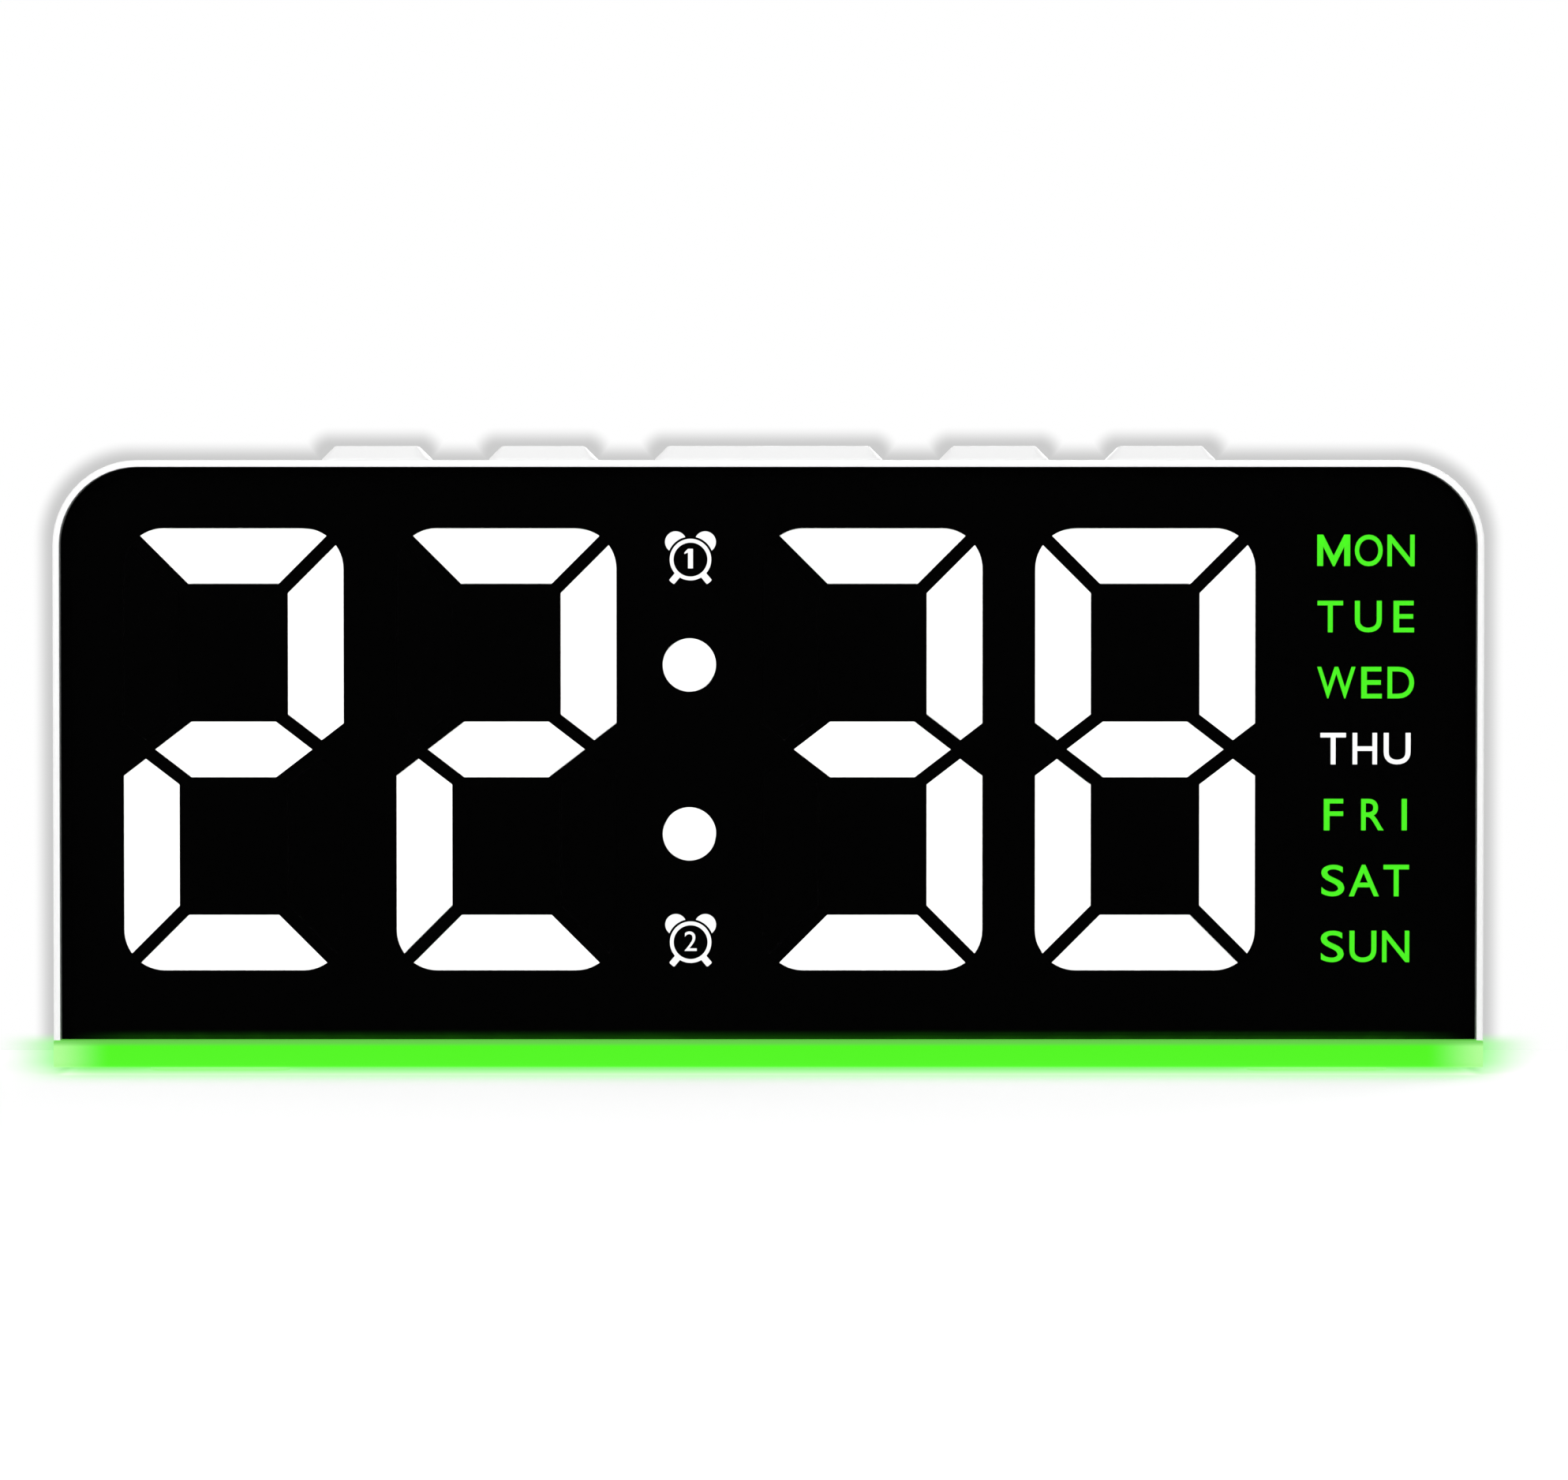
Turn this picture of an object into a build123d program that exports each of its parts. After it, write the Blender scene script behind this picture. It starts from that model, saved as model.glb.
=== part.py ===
from build123d import *

import os
from math import cos, pi, radians, sin, sqrt, tan

# Digital alarm clock: a low white casing with a smoked front, seven-segment
# digits, five sprung keys on top, a glowing bar along the front foot, and a
# hinged battery door and a USB inlet at the back.
# Millimetres. X runs to the right seen from the front, the front faces -Y and
# +Z is up. The origin is on the table, under the middle of the clock.

# Casing
body_width = 160.0
body_depth = 35.0
body_height = 68.8  # table to the top of the casing
foot_rise = 0.8  # table to the bottom of the casing
corner_radius = 9.5
rim_width = 0.75
wall = 2.0
floor_wall = 1.5
cover_depth = 7.8  # rear cover, front to back
front_edge_radius = 0.5
back_edge_radius = 1.5
rib_height = 2.0  # cross rib under the front panel
rib_depth = 2.0
weld = 1.0  # how far lugs and posts run into the walls that carry them

# Clearances
fit_gap = 0.1  # between fixed pieces that sit in one another
running_gap = 0.3  # between pieces that move past one another
pin_gap = 0.08  # radial, of a pin or plunger in its bore
thread_gap = 0.03  # radial, of a screw in its pilot hole
seam_gap = 0.2  # between the casing and its rear cover

# Front panel and light bar
lens_setback = 0.2
lens_thickness = 1.6
tape_width = 1.1
tape_thickness = 0.2
mask_thickness = 0.2
bar_height = 3.0
bar_depth = 4.3
bar_edge_radius = 0.8
tongue_depth = 4.0
tongue_thickness = 1.4

# Display, laid out across and up the front panel from its edges
digit_side_margin = 7.05  # panel's side to the first digit
digit_gap = 6.0  # between the two digits of a pair
colon_gap = 16.45  # between the pairs
weekday_gap = 6.6  # last digit to the weekday guides
weekday_side_margin = 6.55  # weekday guides to the panel's side
digit_top_margin = 6.9
digit_bottom_margin = 7.75
stroke = 6.15
segment_gap = 1.55
middle_slope = 37.5  # degrees, of the middle segment's pointed ends
middle_inset = 3.55  # digit's side to the middle segment's point
digit_corner_radius = 4.5
insert_depth = 3.0
window_gap = 0.05  # round each light guide in its window
dot_radius = 2.95
dot_spacing = 18.95
alarm_guide_width = 6.2
alarm_guide_height = 6.6
weekday_count = 7
weekday_end_drop = 2.55  # digits' top to the middle of the first row
weekday_guide_width = 11.6
weekday_guide_height = 4.6
reflector_border = 2.0
reflector_depth = 6.5
lit_segments = ("abged", "abged", "abgcd", "abcdefg")  # the time shown is 22:38
digit_names = ("hour_tens", "hour_units", "minute_tens", "minute_units")

# Circuit boards and their screws
board_side_clearance = 0.6
board_top_clearance = 2.6
board_floor_clearance = 4.9
board_thickness = 1.6
board_corner_radius = 7.0
small_board_thickness = 1.2
board_screw_radius = 1.0
board_screw_length = 6.0
board_head_radius = 1.9
board_head_height = 1.3
recess_width = 0.5  # cross recess in every screw's head
recess_share = 0.6  # its length over the head's width, and its depth over the height
lug_reach = 4.6
lug_height = 6.0
lug_end_wall = 2.0  # behind the screw's end
lug_inset = 7.5  # board's end to the lug's middle
led_width = 2.0
led_height = 1.2
led_thickness = 0.6

# Keys and their switches
small_key_width = 12.3
long_key_width = 25.8
key_depth = 9.0
key_rise = 1.75
inner_key_x = 25.6
outer_key_x = 44.5
key_corner_radius = 1.8
key_slope = 1.5  # bevel all round the key's top
key_edge_radius = 0.4  # softens the bevel's edges
key_wall = 1.2
key_flange = 1.0
key_flange_thickness = 1.2
key_stem = 3.2
key_stem_drop = 1.9  # stem below the flange
key_travel = 0.5
switch_size = 6.0
switch_height = 3.5
plunger_radius = 1.7
plunger_length = 3.0
plunger_rise = 1.5  # above the switch
key_board_clearance = 0.8  # behind the display board
key_board_margin = 3.0  # beyond the outer switches
key_board_front = 3.4  # board in front of the keys' middle line
key_board_back = 4.6
post_radius = 1.9
header_pin_count = 7
header_pitch = 2.0
header_depth = 2.4
header_standoff = 0.6  # off the display board
header_pin_size = 0.5

# Rear cover, its screws and the lip that locates it
lip_depth = 2.0
lip_wall = 1.2
lip_root = 1.6
cover_boss_radius = 3.2
boss_end_wall = 1.6  # before the screw's end, in the casing's boss
boss_wall_bite = 0.4  # how far a casing boss grows into the wall beside it
cover_screw_radius = 1.15
cover_screw_length = 10.0
cover_screw_gap = 0.2  # radial, of a screw and its head in the cover
cover_head_radius = 2.0
cover_head_height = 1.6
counterbore_depth = 5.0

# Battery bay for three AAA cells, and its hinged door
cell_length = 44.5
cell_radius = 5.25
cell_count = 3
cell_pitch = 10.9
bay_x = -34.0
bay_clearance = 4.85  # under the key board
bay_wall = 2.0
bay_floor_wall = 1.5
contact_thickness = 0.4
contact_width = 8.0
spring_length = 5.0
spring_radius = 2.9  # at the plate
spring_tip_radius = 1.9
spring_wire_radius = 0.3
spring_turn_count = 4
door_thickness = 1.7
door_ledge = 0.8
hinge_radius = 1.6
hinge_pin_radius = 0.8
hinge_pin_length = 1.6
thumb_slot_length = 12.0
thumb_slot_width = 2.4
thumb_slot_depth = 0.8

# Parts on the display board's back, placed across it, and up from its bottom
# edge or down from the key board
chip_x = 12.0
chip_rise = 18.8
chip_size = 10.0
chip_height = 1.6
chip_leg_count = 11  # on each side
chip_leg_pitch = 0.8
chip_leg_reach = 1.0
driver_drop = 11.2
driver_length = 18.0
driver_width = 7.5
driver_height = 2.4
driver_leg_count = 14
driver_leg_pitch = 1.27
driver_leg_reach = 1.4
crystal_offset = 11.0  # beside the clock chip
crystal_radius = 1.0
crystal_length = 6.0
capacitor_x = 30.0
capacitor_drop = 13.2
capacitor_radius = 3.15
capacitor_height = 7.0
capacitor_spacing = 9.0
capacitor_edge_radius = 0.6
resistor_x = -34.0
resistor_rise = 4.8
resistor_count = 8  # in each of two rows
resistor_pitch = 4.0
resistor_row_pitch = 3.0
resistor_length = 2.0
resistor_width = 1.25
resistor_height = 0.55
connector_width = 6.0
connector_height = 5.0
connector_depth = 5.0
connector_rise = 8.2  # above the inlet board

# Sounder and its grille in the cover
buzzer_inset = 25.4  # from the display board's end
buzzer_rise = 28.8
buzzer_radius = 6.0
buzzer_height = 9.5
buzzer_bore = 1.2
grille_hole_radius = 0.8
grille_ring_pitch = 2.6
grille_ring_count = 2

# USB inlet and light strip
usb_x = 42.0
usb_width = 8.94
usb_height = 3.26
usb_length = 7.35
usb_shell = 0.3
usb_end_wall = 1.0
usb_flat = 0.2  # straight part of the socket's round ends
usb_tongue_width = 6.7
usb_tongue_height = 0.7
usb_tongue_setback = 0.5
usb_window_width = 12.6
usb_window_height = 7.0
usb_window_radius = 2.0
inlet_board_width = 18.0
inlet_board_depth = 14.0
inlet_board_top = 11.8
pedestal_width = 4.6
pedestal_end_wall = 0.6  # below the screw's end
strip_end_gap = 10.0  # light strip's end to the casing's side wall
strip_board_height = 4.0
strip_board_thickness = 1.0
strip_led_gap = 0.4  # light bar's tongue to the LEDs
strip_led_count = 10
strip_led_width = 3.0
strip_led_height = 1.4
strip_led_thickness = 1.5
clip_width = 3.0
clip_height = 3.2
clip_thickness = 1.0
clip_spacing = 56.0

# Leads
lead_radius = 0.6
lead_bend = 1.6
inlet_lead_pitch = 2.4
inlet_lead_setback = 4.5  # behind the inlet board's front edge
battery_lead_run = 7.0  # along the bay's side wall
battery_lead_jog = 2.0
battery_lead_drop = 4.0
strip_lead_x = 20.0
strip_lead_pitch = 2.0
strip_lead_bend = 1.2
strip_lead_reach = 1.9  # behind the light strip
strip_lead_rise = 3.0  # above the display board's bottom edge

# Rubber feet
foot_length = 16.0
foot_width = 5.0
foot_recess = 0.5
foot_end_inset = 10.0  # casing's side to the foot
foot_edge_inset = 1.0  # light bar or seam to the foot

# Levels and depths that follow from the sizes above
front_y = -body_depth / 2
back_y = body_depth / 2
base_z = foot_rise
inner_floor_z = base_z + floor_wall
inner_top_z = body_height - wall
inner_half = body_width / 2 - wall
panel_bottom_z = base_z + bar_height + fit_gap
panel_top_z = body_height - rim_width
panel_half = body_width / 2 - rim_width
rib_top_z = panel_bottom_z + rib_height

lens_y = front_y + lens_setback
tape_y = lens_y + lens_thickness
mask_y = tape_y + tape_thickness
ledge_y = mask_y + mask_thickness
board_y = ledge_y + reflector_depth
board_back_y = board_y + board_thickness
rib_back_y = ledge_y + rib_depth
slot_back_y = lens_y + bar_depth + fit_gap
tongue_back_y = lens_y + bar_depth + tongue_depth

seam_y = back_y - cover_depth
cover_front_y = seam_y + seam_gap
lip_front_y = seam_y - lip_depth
cover_inner_y = back_y - wall
head_seat_y = back_y - counterbore_depth

digit_height = panel_top_z - panel_bottom_z - digit_top_margin - digit_bottom_margin
digits_width = (
    2 * panel_half
    - digit_side_margin
    - 2 * digit_gap
    - colon_gap
    - weekday_gap
    - weekday_guide_width
    - weekday_side_margin
)
digit_half_height = digit_height / 2
digit_half_width = digits_width / 4 / 2
digit_centre_z = panel_bottom_z + digit_bottom_margin + digit_half_height
digit_pitch = 2 * digit_half_width + digit_gap
pair_pitch = 2 * digit_half_width + colon_gap
first_digit_x = digit_side_margin + digit_half_width - panel_half
colon_x = first_digit_x + digit_pitch + pair_pitch / 2
digit_centres = (
    first_digit_x,
    first_digit_x + digit_pitch,
    first_digit_x + digit_pitch + pair_pitch,
    first_digit_x + 2 * digit_pitch + pair_pitch,
)
middle_reach = digit_half_width - middle_inset
dot_places = [(colon_x, digit_centre_z + side * dot_spacing / 2) for side in (-1, 1)]
alarm_reach = digit_half_height - alarm_guide_height / 2
alarm_places = [(colon_x, digit_centre_z + side * alarm_reach) for side in (-1, 1)]
weekday_x = panel_half - weekday_side_margin - weekday_guide_width / 2
weekday_reach = digit_half_height - weekday_end_drop
weekday_pitch = 2 * weekday_reach / (weekday_count - 1)
weekday_places = [
    (weekday_x, digit_centre_z - weekday_reach + row * weekday_pitch)
    for row in range(weekday_count)
]

board_half_width = inner_half - board_side_clearance
board_bottom_z = inner_floor_z + board_floor_clearance
board_top_z = inner_top_z - board_top_clearance
board_centre_z = (board_bottom_z + board_top_z) / 2
chip_place = (chip_x, board_bottom_z + chip_rise)
resistor_place = (resistor_x, board_bottom_z + resistor_rise)
buzzer_place = (board_half_width - buzzer_inset, board_bottom_z + buzzer_rise)

key_y = board_back_y + key_board_clearance + key_board_front
keys = {
    "mode_key": (-outer_key_x, small_key_width),
    "alarm_key": (-inner_key_x, small_key_width),
    "snooze_key": (0.0, long_key_width),
    "down_key": (inner_key_x, small_key_width),
    "up_key": (outer_key_x, small_key_width),
}
flange_top_z = inner_top_z - running_gap
flange_bottom_z = flange_top_z - key_flange_thickness
stem_bottom_z = flange_bottom_z - key_stem_drop
key_top_z = body_height + key_rise
switch_top_z = stem_bottom_z - plunger_rise
key_board_top_z = switch_top_z - switch_height
key_board_bottom_z = key_board_top_z - small_board_thickness
key_board_half_width = outer_key_x + switch_size / 2 + key_board_margin
driver_place = (chip_x, key_board_bottom_z - driver_drop)
capacitor_place = (capacitor_x, key_board_bottom_z - capacitor_drop)

# Posts stand in the middle of the gaps between neighbouring keys
outer_post_x = (outer_key_x + inner_key_x) / 2
inner_post_x = (inner_key_x - small_key_width / 2 + long_key_width / 2) / 2
post_places = [
    (side * post_x, key_y) for side in (-1, 1) for post_x in (inner_post_x, outer_post_x)
]

lug_x = inner_half - lug_reach / 2
lug_depth = board_screw_length - board_thickness + lug_end_wall
lug_places = [
    (side * lug_x, lug_z)
    for side in (-1, 1)
    for lug_z in (board_bottom_z + lug_inset, board_top_z - lug_inset)
]
reflector_half_width = lug_x - board_head_radius - 2 * running_gap

# The cover's bosses stand a fit gap off the casing's inner walls, and the
# casing's own bosses are wide enough to grow into those walls.
casing_boss_radius = cover_boss_radius + fit_gap + boss_wall_bite
casing_boss_length = cover_screw_length + boss_end_wall
boss_low = (
    inner_half - fit_gap - cover_boss_radius,
    inner_floor_z + fit_gap + cover_boss_radius,
)
boss_corner_reach = (corner_radius - wall - fit_gap - cover_boss_radius) / sqrt(2)
boss_high = (
    body_width / 2 - corner_radius + boss_corner_reach,
    body_height - corner_radius + boss_corner_reach,
)
boss_places = [(side * x, z) for side in (-1, 1) for x, z in (boss_low, boss_high)]

bay_length = cell_length + contact_thickness * 2 + spring_length + fit_gap * 3
bay_height = cell_count * cell_pitch
bay_z = key_board_bottom_z - bay_clearance - bay_wall - bay_height / 2
door_inner_y = back_y - door_thickness
bay_floor_y = door_inner_y - 2 * cell_radius - 2 * running_gap
door_length = bay_length + 2 * door_ledge
door_height = bay_height + 2 * door_ledge
hinge_y = back_y - hinge_radius
hinge_z = bay_z - door_height / 2 + hinge_radius
pin_reach = door_length / 2 + running_gap + hinge_pin_length

inlet_board_bottom = inlet_board_top - small_board_thickness
inlet_board_back_y = cover_inner_y - 2 * fit_gap
inlet_board_front_y = inlet_board_back_y - inlet_board_depth
usb_mouth_y = cover_inner_y - fit_gap
usb_z = inlet_board_top + usb_height / 2
pedestal_x = inlet_board_width / 2 - pedestal_width / 2
pedestal_height = board_screw_length - small_board_thickness + pedestal_end_wall
pedestals = [usb_x - pedestal_x, usb_x + pedestal_x]
inlet_screw_y = inlet_board_front_y + pedestal_width / 2
inlet_screw_places = [(pedestal, inlet_screw_y) for pedestal in pedestals]
connector_place = (usb_x, inlet_board_top + connector_rise)

strip_board_width = 2 * (inner_half - strip_end_gap)
strip_led_back_y = tongue_back_y + strip_led_gap + strip_led_thickness
strip_back_y = strip_led_back_y + strip_board_thickness
strip_bottom_z = inner_floor_z + fit_gap

foot_x = body_width / 2 - foot_end_inset - foot_length / 2
front_foot_y = slot_back_y + foot_edge_inset + foot_width / 2
back_foot_y = cover_front_y + foot_edge_inset + foot_width / 2


def facing(y):
    """The upright plane at a depth, facing the front."""
    return Plane.XZ.offset(-y)


def casing_outline(inset, bottom_z, mode=Mode.ADD):
    """The casing's section drawn in by an inset, standing on a level."""
    half = body_width / 2 - inset
    top = body_height - inset
    radius = corner_radius - inset
    with BuildLine() as outline:
        FilletPolyline(
            (-half, bottom_z),
            (-half, top),
            (half, top),
            (half, bottom_z),
            radius=[0, radius, radius, 0],
            close=True,
        )
    make_face(outline.edges(), mode=mode)


def segment_corners(segment):
    """Corner points of one segment about the digit's centre."""
    diagonal = segment_gap / sqrt(2)
    slope = tan(radians(middle_slope))
    half_stroke = stroke / 2
    inner = digit_half_width - stroke
    if segment == "g":
        flat = middle_reach - half_stroke / slope
        right = [(flat, half_stroke), (middle_reach, 0), (flat, -half_stroke)]
        left = [(-x, -z) for x, z in right]
        return right + left
    if segment in "ad":
        side = 1 if segment == "a" else -1
        long_half = digit_half_width - diagonal
        return [
            (-long_half, side * digit_half_height),
            (long_half, side * digit_half_height),
            (long_half - stroke, side * (digit_half_height - stroke)),
            (stroke - long_half, side * (digit_half_height - stroke)),
        ]
    across = 1 if segment in "bc" else -1
    up = 1 if segment in "bf" else -1
    tip_reach = middle_reach + segment_gap / sin(radians(middle_slope))
    tip_x = tip_reach - diagonal / slope
    points = [
        (digit_half_width, digit_half_height - diagonal),
        (digit_half_width, diagonal + (digit_half_width - tip_x) * slope),
        (tip_x, diagonal),
        (inner, (tip_reach - inner) * slope),
        (inner, digit_half_height - diagonal - stroke),
    ]
    return [(across * x, up * z) for x, z in points]


def segment_middle(segment):
    """The middle of one segment about the digit's centre."""
    edge_x = digit_half_width - stroke / 2
    edge_z = digit_half_height - stroke / 2
    middles = {"a": (0, edge_z), "d": (0, -edge_z), "g": (0, 0)}
    if segment in middles:
        return middles[segment]
    across = 1 if segment in "bc" else -1
    up = 1 if segment in "bf" else -1
    return across * edge_x, up * edge_z / 2


def draw_segment(segment, centre_x):
    """One segment's face, its tips cut off by the digit's rounded outline."""
    with BuildSketch(Plane.XY, mode=Mode.PRIVATE) as face:
        with BuildLine():
            Polyline(*segment_corners(segment), close=True)
        make_face()
        RectangleRounded(
            2 * digit_half_width, digit_height, digit_corner_radius, mode=Mode.INTERSECT
        )
    with Locations((centre_x, digit_centre_z)):
        add(face.sketch_local)


def draw_windows():
    """Every segment and both colon dots, with the gap that a guide needs."""
    for centre_x in digit_centres:
        for segment in "abcdefg":
            draw_segment(segment, centre_x)
    with Locations(*dot_places):
        Circle(dot_radius)
    offset(amount=window_gap, kind=Kind.INTERSECTION)


def draw_cells(places, width, height, gap=0.0):
    """A rectangle at each place, a gap larger all round."""
    with Locations(*places):
        Rectangle(width + 2 * gap, height + 2 * gap)


def coil(start, direction, length, turns):
    """A tapering spring's path along X from its plate, made of quarter-turn arcs."""
    origin = Vector(*start)
    steps = turns * 8
    points = []
    for step in range(steps + 1):
        share = step / steps
        angle = 2 * pi * turns * share
        radius = spring_radius + (spring_tip_radius - spring_radius) * share
        across = Vector(0, radius * cos(angle), radius * sin(angle))
        points.append(origin + Vector(direction * length * share, 0, 0) + across)
    with BuildLine() as path:
        for step in range(0, steps, 2):
            ThreePointArc(points[step], points[step + 1], points[step + 2])
    return path.line


def least_gap(path, turns, radius):
    """The least gap between the turns of a wound wire, measured on points."""
    per_turn = 24
    count = turns * per_turn
    points = [path @ (step / count) for step in range(count + 1)]
    distances = [
        (points[first] - points[second]).length
        for first in range(count + 1)
        for second in range(first + per_turn // 2, count + 1)
    ]
    return min(distances) - 2 * radius


def wire_path(points, bend):
    """A lead's path: straight runs joined by bends of one radius."""
    with BuildLine() as path:
        FilletPolyline(*points, radius=bend)
    return path.line


def sweep_wire(path, radius):
    """A round wire swept along a path."""
    with BuildSketch(Plane(path @ 0, z_dir=path % 0)) as section:
        Circle(radius)
    sweep(section.sketch, path=path)


def draw_recesses(places, head_radius):
    """The cross recess of a screw's head at each place."""
    length = 2 * head_radius * recess_share
    with Locations(*places):
        Rectangle(length, recess_width)
        Rectangle(recess_width, length)


# Casing: one shell with the front rim, the cross rib, the key openings and the
# bosses, posts and lugs that carry the rest.
with BuildPart() as housing:
    with BuildSketch(facing(front_y)):
        casing_outline(0, base_z)
    extrude(amount=front_y - seam_y)
    fillet(housing.edges().group_by(Axis.Y)[0], front_edge_radius)
    with BuildSketch(facing(front_y)):
        casing_outline(rim_width, panel_bottom_z)
    extrude(amount=front_y - ledge_y, mode=Mode.SUBTRACT)
    with BuildSketch(facing(ledge_y)):
        casing_outline(wall, rib_top_z)
    extrude(amount=ledge_y - seam_y, mode=Mode.SUBTRACT)
    with BuildSketch(facing(rib_back_y)):
        casing_outline(wall, inner_floor_z)
    extrude(amount=rib_back_y - seam_y, mode=Mode.SUBTRACT)
    # Way for the light bar, open to both sides
    with BuildSketch(facing(front_y)):
        with Locations((0, (base_z + panel_bottom_z) / 2)):
            Rectangle(body_width, panel_bottom_z - base_z)
    extrude(amount=front_y - slot_back_y, mode=Mode.SUBTRACT)
    # Key openings
    with BuildSketch(Plane.XY.offset(inner_top_z)):
        for key_x, key_width in keys.values():
            with Locations((key_x, key_y)):
                RectangleRounded(
                    key_width + 2 * running_gap,
                    key_depth + 2 * running_gap,
                    key_corner_radius + running_gap,
                )
    extrude(amount=wall, mode=Mode.SUBTRACT)
    # Posts for the key board
    with BuildSketch(Plane.XY.offset(key_board_top_z)):
        with Locations(*post_places):
            Circle(post_radius)
    extrude(amount=inner_top_z + weld - key_board_top_z)
    with BuildSketch(Plane.XY.offset(key_board_top_z)):
        with Locations(*post_places):
            Circle(board_screw_radius + thread_gap)
    extrude(amount=board_screw_length, mode=Mode.SUBTRACT)
    # Lugs behind the display board
    with BuildSketch(facing(board_back_y)):
        for lug_centre_x, lug_z in lug_places:
            side = 1 if lug_centre_x > 0 else -1
            with Locations((lug_centre_x + side * weld / 2, lug_z)):
                Rectangle(lug_reach + weld, lug_height)
    extrude(amount=-lug_depth)
    with BuildSketch(facing(board_back_y)):
        with Locations(*lug_places):
            Circle(board_screw_radius + thread_gap)
    extrude(amount=-board_screw_length, mode=Mode.SUBTRACT)
    # Bosses for the cover's screws
    with BuildSketch(facing(lip_front_y - fit_gap)):
        with Locations(*boss_places):
            Circle(casing_boss_radius)
    extrude(amount=casing_boss_length)
    with BuildSketch(facing(lip_front_y - fit_gap)):
        with Locations(*boss_places):
            Circle(cover_screw_radius + thread_gap)
    extrude(amount=cover_screw_length, mode=Mode.SUBTRACT)
    # Clips that stand behind the light strip's board
    with BuildSketch(Plane.XY.offset(base_z + floor_wall / 2)):
        with GridLocations(clip_spacing, 1, 3, 1):
            with Locations((0, strip_back_y + fit_gap + clip_thickness / 2)):
                Rectangle(clip_width, clip_thickness)
    extrude(amount=floor_wall / 2 + clip_height)
    # Recesses for the front feet
    with BuildSketch(Plane.XY.offset(base_z)):
        with Locations((-foot_x, front_foot_y), (foot_x, front_foot_y)):
            SlotOverall(foot_length, foot_width)
    extrude(amount=foot_recess, mode=Mode.SUBTRACT)

# Rear cover: a shallow shell with a locating lip, the battery bay, the
# sounder's grille and the USB window.
with BuildPart() as rear_cover:
    with BuildSketch(facing(cover_front_y)):
        casing_outline(0, base_z)
    extrude(amount=cover_front_y - back_y)
    fillet(rear_cover.edges().group_by(Axis.Y)[-1], back_edge_radius)
    with BuildSketch(facing(cover_front_y + lip_root)):
        casing_outline(wall, inner_floor_z)
    extrude(amount=cover_front_y + lip_root - cover_inner_y, mode=Mode.SUBTRACT)
    lip_inset = wall + fit_gap
    lip_level = inner_floor_z + fit_gap
    with BuildSketch(facing(cover_front_y)):
        casing_outline(lip_inset + lip_wall, lip_level + lip_wall)
    extrude(amount=-lip_root, mode=Mode.SUBTRACT)
    with BuildSketch(facing(lip_front_y)):
        casing_outline(lip_inset, lip_level)
        casing_outline(lip_inset + lip_wall, lip_level + lip_wall, Mode.SUBTRACT)
    extrude(amount=lip_front_y - cover_front_y)
    # Screw bosses
    with BuildSketch(facing(lip_front_y)):
        with Locations(*boss_places):
            Circle(cover_boss_radius)
    extrude(amount=lip_front_y - cover_inner_y)
    with BuildSketch(facing(lip_front_y)):
        with Locations(*boss_places):
            Circle(cover_screw_radius + cover_screw_gap)
    extrude(amount=lip_front_y - head_seat_y, mode=Mode.SUBTRACT)
    with BuildSketch(facing(head_seat_y)):
        with Locations(*boss_places):
            Circle(cover_head_radius + cover_screw_gap)
    extrude(amount=-counterbore_depth, mode=Mode.SUBTRACT)
    # Battery bay and the door's opening
    with BuildSketch(facing(bay_floor_y - bay_floor_wall)):
        with Locations((bay_x, bay_z)):
            Rectangle(bay_length + 2 * bay_wall, bay_height + 2 * bay_wall)
    extrude(amount=bay_floor_y - bay_floor_wall - cover_inner_y)
    # Ears round the door's pins
    ear_x = door_length / 2 + running_gap + hinge_pin_length / 2
    with BuildSketch(facing(hinge_y - 2 * hinge_radius)):
        with Locations((bay_x - ear_x, hinge_z), (bay_x + ear_x, hinge_z)):
            Rectangle(hinge_pin_length + 2 * wall, 2 * hinge_radius + wall)
    extrude(amount=hinge_y - 2 * hinge_radius - cover_inner_y)
    with BuildSketch(facing(bay_floor_y)):
        with Locations((bay_x, bay_z)):
            Rectangle(bay_length, bay_height)
    extrude(amount=bay_floor_y - back_y, mode=Mode.SUBTRACT)
    with BuildSketch(facing(cover_inner_y)):
        with Locations((bay_x, bay_z)):
            Rectangle(door_length + 2 * running_gap, door_height + 2 * running_gap)
    extrude(amount=-wall, mode=Mode.SUBTRACT)
    with BuildSketch(Plane.YZ.offset(bay_x)):
        with Locations((hinge_y, hinge_z)):
            Circle(hinge_radius + running_gap)
    extrude(amount=door_length / 2 + running_gap, both=True, mode=Mode.SUBTRACT)
    with BuildSketch(Plane.YZ.offset(bay_x)):
        with Locations((hinge_y, hinge_z)):
            Circle(hinge_pin_radius + pin_gap)
    extrude(amount=pin_reach + running_gap, both=True, mode=Mode.SUBTRACT)
    # Sounder's grille: a middle hole and rings of holes round it
    with BuildSketch(facing(cover_inner_y)):
        with Locations(buzzer_place):
            Circle(grille_hole_radius)
            for ring in range(1, grille_ring_count + 1):
                with PolarLocations(ring * grille_ring_pitch, 6 * ring):
                    Circle(grille_hole_radius)
    extrude(amount=-wall, mode=Mode.SUBTRACT)
    # Window for the USB plug
    with BuildSketch(facing(cover_inner_y)):
        with Locations((usb_x, usb_z)):
            RectangleRounded(usb_window_width, usb_window_height, usb_window_radius)
    extrude(amount=-wall, mode=Mode.SUBTRACT)
    # Pedestals for the inlet board
    with BuildSketch(facing(inlet_board_front_y)):
        for pedestal in pedestals:
            with Locations((pedestal, inlet_board_bottom - pedestal_height / 2)):
                Rectangle(pedestal_width, pedestal_height)
    extrude(amount=inlet_board_front_y - cover_inner_y)
    with BuildSketch(Plane.XY.offset(inlet_board_bottom)):
        with Locations(*inlet_screw_places):
            Circle(board_screw_radius + thread_gap)
    extrude(amount=-board_screw_length, mode=Mode.SUBTRACT)
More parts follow.
